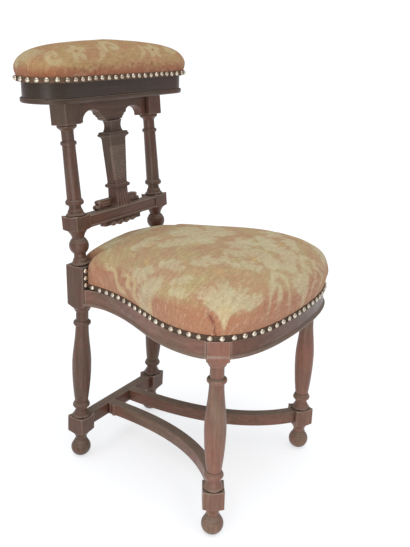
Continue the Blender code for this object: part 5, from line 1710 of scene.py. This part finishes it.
def springs(steel):
    """Waisted coil springs on the crossings of the webbing."""
    low = RAIL_BOTTOM + WEB_THICK + 2 * FIT + SPRING_WIRE / 2
    high = RAIL_TOP + CANVAS_LIFT - SPRING_WIRE / 2
    crossings = [(x, f) for i, f in enumerate(WEB_FORWARD) for j, x in enumerate(WEB_X) if (i + j) % 2 == 0]
    for number, (x, forward) in enumerate(crossings):
        points = []
        for share in spread(0, 1, 26 * SPRING_CURLS):
            angle = 2 * math.pi * SPRING_CURLS * share
            radius = SPRING_R + (SPRING_WAIST_R - SPRING_R) * math.sin(math.pi * share)
            place = (x + radius * math.cos(angle), POST_Y - forward + radius * math.sin(angle))
            points.append((*place, low + (high - low) * share))
        coil = wound(f"coil_spring_{number + 1}", points, SPRING_WIRE / 2)
        dressed(coil, steel, [f"seat_spring_{number + 1}"])


def spring_canvas(hessian):
    """The canvas stretched over the springs and nailed to the tops of the rails."""
    place = seat_edge()[:, :2]
    rings = []
    for inset, lift in through(((0.04, 0), (0.22, 1), (0.50, 1), (0.80, 1), (0.97, 1)), 4):
        level = RAIL_TOP + FIT + CANVAS_THICK / 2 + CANVAS_LIFT * min(1, max(0, lift))
        rings.append(levelled(drawn_in(place, inset), level))
    obj = pad_mesh("hessian_canvas", rings, middle=True)
    dressed(obj, hessian, ["spring_canvas"])


# Finishes


def add(tree, kind, inputs=(), **settings):
    """A shader node with its settings, and its sockets linked or set."""
    node = tree.nodes.new(f"ShaderNode{kind}")
    for key, value in settings.items():
        setattr(node, key, value)
    feed(tree, node, dict(inputs))
    return node


def feed(tree, node, inputs):
    """Links each named socket to what feeds it, or sets its value."""
    for key, value in inputs.items():
        if isinstance(value, bpy.types.NodeSocket):
            tree.links.new(value, node.inputs[key])
        else:
            node.inputs[key].default_value = value


def noise(tree, vector, scale, detail=3.0, roughness=0.55):
    """Cloudy noise from 0 to 1."""
    inputs = {"Vector": vector, "Scale": scale, "Detail": detail, "Roughness": roughness}
    return add(tree, "TexNoise", inputs).outputs[0]


def ramp(tree, value, stops):
    """Colours that follow a value, from stops of (place, colour)."""
    node = add(tree, "ValToRGB", {0: value})
    while len(node.color_ramp.elements) < len(stops):
        node.color_ramp.elements.new(0.5)
    for element, (place, colour) in zip(node.color_ramp.elements, stops):
        element.position = place
        element.color = (*colour, 1)
    return node.outputs[0]


def blended(tree, share, first, second, way="MIX"):
    """A share of a second colour in a first; each is a socket, or red, green and blue."""
    sides = [(*side, 1) if isinstance(side, tuple) else side for side in (first, second)]
    inputs = {0: share, 6: sides[0], 7: sides[1]}
    return add(tree, "Mix", inputs, data_type="RGBA", blend_type=way).outputs[2]


def figured(tree, operation, first, second=0.0):
    """A sum, product or other figure of one or two values."""
    return add(tree, "Math", {0: first, 1: second}, operation=operation).outputs[0]


def ranged(tree, value, low, high, to_low=0.0, to_high=1.0):
    """A value's range from low to high, carried over to another range."""
    return add(tree, "MapRange", {0: value, 1: low, 2: high, 3: to_low, 4: to_high}).outputs[0]


def stretched(tree, scale=(1, 1, 1)):
    """Object coordinates with a scale for each axis."""
    place = add(tree, "TexCoord").outputs["Object"]
    return add(tree, "Mapping", {"Vector": place, "Scale": scale}).outputs[0]


def bumped(tree, height, distance, strength=1.0):
    """A surface direction roughened by a height."""
    return add(tree, "Bump", {"Height": height, "Distance": distance, "Strength": strength}).outputs[0]


def waves(tree, place, pitch, axes):
    """A sine wave along each of the first axes of a place."""
    parts = add(tree, "SeparateXYZ", {0: place}).outputs
    turns = [figured(tree, "MULTIPLY", parts[i], 2 * math.pi / pitch) for i in range(axes)]
    return [figured(tree, "SINE", turn) for turn in turns]


def finish(name):
    """A new material, its tree and its shader."""
    material = bpy.data.materials.new(name)
    material.use_nodes = True
    tree = material.node_tree
    return material, tree, tree.nodes["Principled BSDF"]


def shaded(colour, depth):
    """A colour made lighter or darker."""
    return tuple(depth * part for part in colour)


def stained(tree, grain, tone, pores, depth):
    """Stain of the wood: streaks along the grain, red and olive patches, dark pores."""
    colour = ramp(tree, grain, [(place, shaded(stain, depth)) for place, stain in GRAIN_STAINS])
    colour = blended(tree, ranged(tree, tone, 0.45, 0.70, 0, 0.50), colour, shaded(RED_PATCH, depth))
    colour = blended(tree, ranged(tree, tone, 0.34, 0.50, 0.40, 0), colour, shaded(OLIVE_PATCH, depth))
    return blended(tree, ranged(tree, pores, 0.34, 0.44, 0.3, 0), colour, PORE)


def rubbed_lit_edges_and_grimed_shaded_hollows(tree, colour, wear, edge_rub_and_highlight):
    """Wear and painted light of the wood: arrises rubbed pale in patches, which also paints the highlights
    that edges catch, and grime with painted shade in the hollows and where parts meet.
    """
    # Pale arrises: rubbed wear, and painted highlight along the edges.
    arrises = add(tree, "AmbientOcclusion", {"Distance": 0.0034}, samples=8, inside=True).outputs["AO"]
    worn = ranged(tree, wear, 0.3, 0.6, 0.5 * edge_rub_and_highlight, edge_rub_and_highlight)
    rubbed_and_highlit = figured(tree, "MULTIPLY", ranged(tree, arrises, 0.42, 0.86, 1, 0), worn)
    colour = blended(tree, rubbed_and_highlit, colour, RUBBED_AND_HIGHLIT_EDGE)
    # Dark hollows: grime, and painted shade in the hollows and where parts meet.
    grime_and_shade_in_hollows = add(tree, "AmbientOcclusion", {"Distance": 0.0085}, samples=8).outputs["AO"]
    return blended(tree, ranged(tree, grime_and_shade_in_hollows, 0.22, 0.84, 0.95, 0), colour, HOLLOW_GRIME_AND_SHADE)


def dusty_and_top_lit(tree, wear):
    """How much dust and painted top light lies on the wood: most where it looks up, in patches."""
    up = add(tree, "SeparateXYZ", {0: add(tree, "NewGeometry").outputs["Normal"]}).outputs[2]
    patches = ranged(tree, wear, 0.3, 0.7, 0.6, 1.0)
    return figured(tree, "MULTIPLY", ranged(tree, up, 0.35, 0.9, 0, 0.75), patches)


def walnut(name, along, depth=1.0, edge_rub_and_highlight=0.85):
    """Worn walnut with its grain along an axis, dusty and painted lighter on top as if lit from above; depth
    makes its stain lighter or darker, as fading and as painted light and shade, and its edges are rubbed
    pale, which also paints their highlights.
    """
    material, tree, shader = finish(name)
    scale = [1.0, 1.0, 1.0]
    scale[along] = 0.06
    grain = noise(tree, stretched(tree, scale), 170, 5, 0.62)
    pores = noise(tree, stretched(tree, scale), 900, 2)
    tone = noise(tree, stretched(tree), 9, 3)
    wear = noise(tree, stretched(tree), 45, 4, 0.6)
    # Dust, and painted light on the tops as if from a lamp above.
    dust_and_top_light = dusty_and_top_lit(tree, wear)
    colour = rubbed_lit_edges_and_grimed_shaded_hollows(tree, stained(tree, grain, tone, pores, depth), wear, edge_rub_and_highlight)
    height = figured(tree, "ADD", figured(tree, "MULTIPLY", grain, 0.5), pores)
    feed(tree, shader, {
        "Base Color": blended(tree, dust_and_top_light, colour, DUST_AND_TOP_LIGHT),
        "Roughness": ranged(tree, figured(tree, "ADD", wear, dust_and_top_light), 0.3, 1.1, 0.27, 0.60),
        "Specular IOR Level": 0.27,
        "Normal": bumped(tree, height, 0.00025, 0.5),
    })
    return material


def wool_colours(tree, cloth):
    """Terracotta sides, tan top, sage and cream leaves and touches of gold, faded and threadbare."""
    wools = add(tree, "Attribute", attribute_name="pattern").outputs
    leaf, gold, line = add(tree, "SeparateColor", {0: wools["Color"]}).outputs
    place = stretched(tree)
    fade = noise(tree, place, 13, 4, 0.6)
    patch = noise(tree, place, 26, 3, 0.6)
    mottle = noise(tree, place, 120, 4, 0.65)
    drawn_out = add(tree, "Mapping", {"Vector": cloth, "Scale": (0.3, 1, 1)}).outputs[0]
    threads = noise(tree, drawn_out, 150, 4, 0.65)
    tan = blended(tree, ranged(tree, patch, 0.40, 0.66), *TAN)
    side = figured(tree, "MULTIPLY", wools["Alpha"], ranged(tree, fade, 0.28, 0.6, 0.82, 1.0))
    colour = blended(tree, side, tan, blended(tree, mottle, *ROSE))
    cover = figured(tree, "MULTIPLY", leaf, ranged(tree, fade, 0.3, 0.65, 0.55, 0.92))
    colour = blended(tree, cover, colour, blended(tree, mottle, *LEAVES))
    colour = blended(tree, figured(tree, "MULTIPLY", gold, 0.75), colour, GOLD)
    colour = blended(tree, line, colour, DARK_LINE)
    colour = blended(tree, ranged(tree, threads, 0.52, 0.74, 0, 0.50), colour, PALE_THREAD)
    return blended(tree, ranged(tree, threads, 0.30, 0.46, 0.40, 0), colour, DARK_THREAD)


def stitches(tree, cloth):
    """The ridges of the stitches, and a chance value for each stitch."""
    snapped = add(tree, "VectorMath", {0: cloth, 1: (STITCH, STITCH, STITCH)}, operation="SNAP").outputs[0]
    chance = add(tree, "TexWhiteNoise", {"Vector": snapped}).outputs["Value"]
    return figured(tree, "MULTIPLY", *waves(tree, cloth, STITCH, 2)), chance


def needlepoint(name, bright):
    """Faded wool tent stitch, no stitch quite like the next, with painted shade in the gaps between stitches;
    bright tints the whole cover.
    """
    material, tree, shader = finish(name)
    cloth = add(tree, "UVMap", uv_map="cloth").outputs[0]
    stitch, chance = stitches(tree, cloth)
    # The ridges darken the gaps between stitches: painted shade, mixed with each stitch's own chance
    # difference of wool.
    gap_shade_and_stitch_chance = figured(tree, "ADD", figured(tree, "MULTIPLY", stitch, 0.35), chance)
    parts = [ranged(tree, gap_shade_and_stitch_chance, -0.3, 1.3, 0.80 * share, 1.12 * share) for share in bright]
    tint = add(tree, "CombineColor", dict(enumerate(parts))).outputs[0]
    height = figured(tree, "ADD", stitch, figured(tree, "MULTIPLY", chance, 0.6))
    feed(tree, shader, {
        "Base Color": blended(tree, 1.0, wool_colours(tree, cloth), tint, "MULTIPLY"),
        "Normal": bumped(tree, height, 0.0005, 0.6),
        "Roughness": 0.95,
        "Specular IOR Level": 0.15,
        "Sheen Weight": 0.12,
    })
    return material


def worn_metal(name, bright, dull, roughness):
    """Metal with tarnish in patches."""
    material, tree, shader = finish(name)
    patches = noise(tree, stretched(tree), 140, 4)
    scratches = noise(tree, stretched(tree, (1, 1, 0.2)), 1500, 2)
    feed(tree, shader, {
        "Base Color": blended(tree, ranged(tree, patches, 0.45, 0.7, 0, 0.8), bright, dull),
        "Roughness": ranged(tree, patches, 0.3, 0.7, roughness - 0.08, roughness + 0.15),
        "Normal": bumped(tree, scratches, 0.00005, 0.4),
        "Metallic": 1.0,
    })
    return material


def coarse_cloth(name, dark, light, pitch):
    """Woven thread: braid, jute webbing or hessian, by its colours and its pitch."""
    material, tree, shader = finish(name)
    place = stretched(tree)
    weft, warp, rise = waves(tree, place, pitch, 3)
    weave = figured(tree, "ADD", figured(tree, "MULTIPLY", weft, warp), rise)
    coarse = figured(tree, "ADD", weave, noise(tree, place, 900, 3))
    feed(tree, shader, {
        "Base Color": blended(tree, ranged(tree, coarse, -1.0, 2.0), dark, light),
        "Normal": bumped(tree, coarse, 0.0003, 0.7),
        "Roughness": 0.95,
        "Specular IOR Level": 0.2,
    })
    return material


# Studio


def studio():
    """A pale floor, a white surround, soft light from above and a broad light low on the left."""
    bpy.ops.mesh.primitive_plane_add(size=60)
    floor = bpy.context.object
    floor.name = "floor"
    material, tree, shader = finish("pale_floor")
    tone = noise(tree, stretched(tree), 3, 2)
    feed(tree, shader, {
        "Base Color": blended(tree, tone, (0.40, 0.41, 0.425), (0.42, 0.42, 0.43)),
        "Roughness": 0.9,
        "Emission Color": (0.97, 0.985, 1.0, 1),
        "Emission Strength": 0.67,
    })
    floor.data.materials.append(material)
    white_surround()
    sky = lamp("soft_sky", "SUN", 2.0, (0, 0, 2), (-0.16, -0.15, 0.97))
    sky.angle = math.radians(70)
    side = lamp("side_light", "AREA", 8.2, (-1.40, -0.62, 0.38), (-1.2, -0.55, 0.10))
    side.size = 0.9
    bpy.context.scene.view_settings.view_transform = "Standard"


def white_surround():
    """White behind the chair, and a greyer room for the light that reaches it."""
    world = bpy.data.worlds.new("white_surround")
    world.use_nodes = True
    tree = world.node_tree
    seen = add(tree, "LightPath").outputs["Is Camera Ray"]
    strength = ranged(tree, seen, 0, 1, 0.42, 1.05)
    feed(tree, tree.nodes["Background"], {"Color": (0.985, 0.99, 1.0, 1), "Strength": strength})
    bpy.context.scene.world = world


def lamp(name, kind, energy, place, from_way):
    """A light at a place that shines from a direction."""
    light = bpy.data.lights.new(name, kind)
    light.energy = energy
    obj = placed(name, light)
    obj.location = place
    obj.rotation_euler = Vector(from_way).to_track_quat("Z", "Y").to_euler()
    return light


def camera():
    """The camera of the photograph: to the left of the front, a little above the box rail."""
    yaw, pitch, roll = (math.radians(angle) for angle in CAMERA_TURN)
    right = Vector((math.cos(yaw), math.sin(yaw), 0))
    ahead = Vector((-math.sin(yaw) * math.cos(pitch), math.cos(yaw) * math.cos(pitch), -math.sin(pitch)))
    up = right.cross(ahead)
    across = right * math.cos(roll) + up * math.sin(roll)
    upright = up * math.cos(roll) - right * math.sin(roll)
    data = bpy.data.cameras.new("camera")
    data.lens = CAMERA_LENS
    data.sensor_width = 36
    data.shift_x, data.shift_y = CAMERA_SHIFT
    matrix = Matrix((across, upright, -ahead)).transposed().to_4x4()
    matrix.translation = CAMERA_PLACE
    obj = placed("camera", data)
    obj.matrix_world = matrix
    bpy.context.scene.camera = obj


# Assembly


def wooden_frame():
    """The wood, by its grain's axis, its stain's depth and how far its edges are rubbed and lit. The depths
    make lit and shaded copies of one walnut, partly real fading and partly painted light and shade: front
    legs and side pieces lightest, the box darkest under the lid.
    """
    # Painted light and shade in the depths: high ones paint the front legs and side pieces lighter, low ones
    # paint the box and lid board darker.
    worn = walnut("walnut_lightened", 2, 2.05)
    upright = walnut("walnut_upright", 2, 1.18)
    carved = walnut("walnut_carved", 2, 0.95, 0.45)
    across = walnut("walnut_across", 0, 1.25)
    along = walnut("walnut_along", 1, 1.8)
    dark = walnut("walnut_dark", 0, 0.48, 0.5)
    lip = walnut("walnut_lip", 0, 0.75, 1.0)
    front_legs(worn)
    rear_posts(upright)
    for side, word in SIDES:
        scroll_bracket(side, word, across)
    seat_rails(across, along)
    stretchers(across, along)
    lower_back_rail(across)
    arched_apron(across)
    back_splat(carved)
    rail_pendant(across)
    box_base(lip)
    box_wall(dark)
    lid_board(dark)


def upholstery():
    """The pads, their trim, and what carries the seat from below."""
    seat_wool = needlepoint("seat_needlepoint", (1.09, 1.09, 1.07))
    lid_wool = needlepoint("lid_needlepoint", (1.02, 0.91, 0.78))
    braid = coarse_cloth("dark_gimp", (0.036, 0.023, 0.016), (0.140, 0.092, 0.064), 0.0022)
    lid_gimp = coarse_cloth("faded_gimp", (0.060, 0.033, 0.021), (0.22, 0.135, 0.085), 0.0022)
    jute = coarse_cloth("jute_web", (0.20, 0.13, 0.065), (0.46, 0.34, 0.20), 0.0020)
    hessian = coarse_cloth("hessian", (0.22, 0.15, 0.08), (0.50, 0.38, 0.24), 0.0024)
    metal = worn_metal("nail_metal", (0.67, 0.60, 0.49), (0.33, 0.25, 0.17), 0.33)
    steel = worn_metal("spring_steel", (0.42, 0.41, 0.40), (0.20, 0.13, 0.09), 0.4)
    seat_pad(seat_wool)
    lid_pad(lid_wool)
    seat_braid(braid)
    lid_braid(lid_gimp)
    all_nails(metal)
    webbing(jute)
    springs(steel)
    spring_canvas(hessian)


def hinges():
    """The brass hinges keep the part's own shape."""
    brass = worn_metal("hinge_brass", (0.62, 0.44, 0.19), (0.28, 0.18, 0.08), 0.32)
    for name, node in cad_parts.items():
        if name.startswith("hinge_"):
            node.data.materials.clear()
            node.data.materials.append(brass)


studio()
camera()
wooden_frame()
upholstery()
hinges()
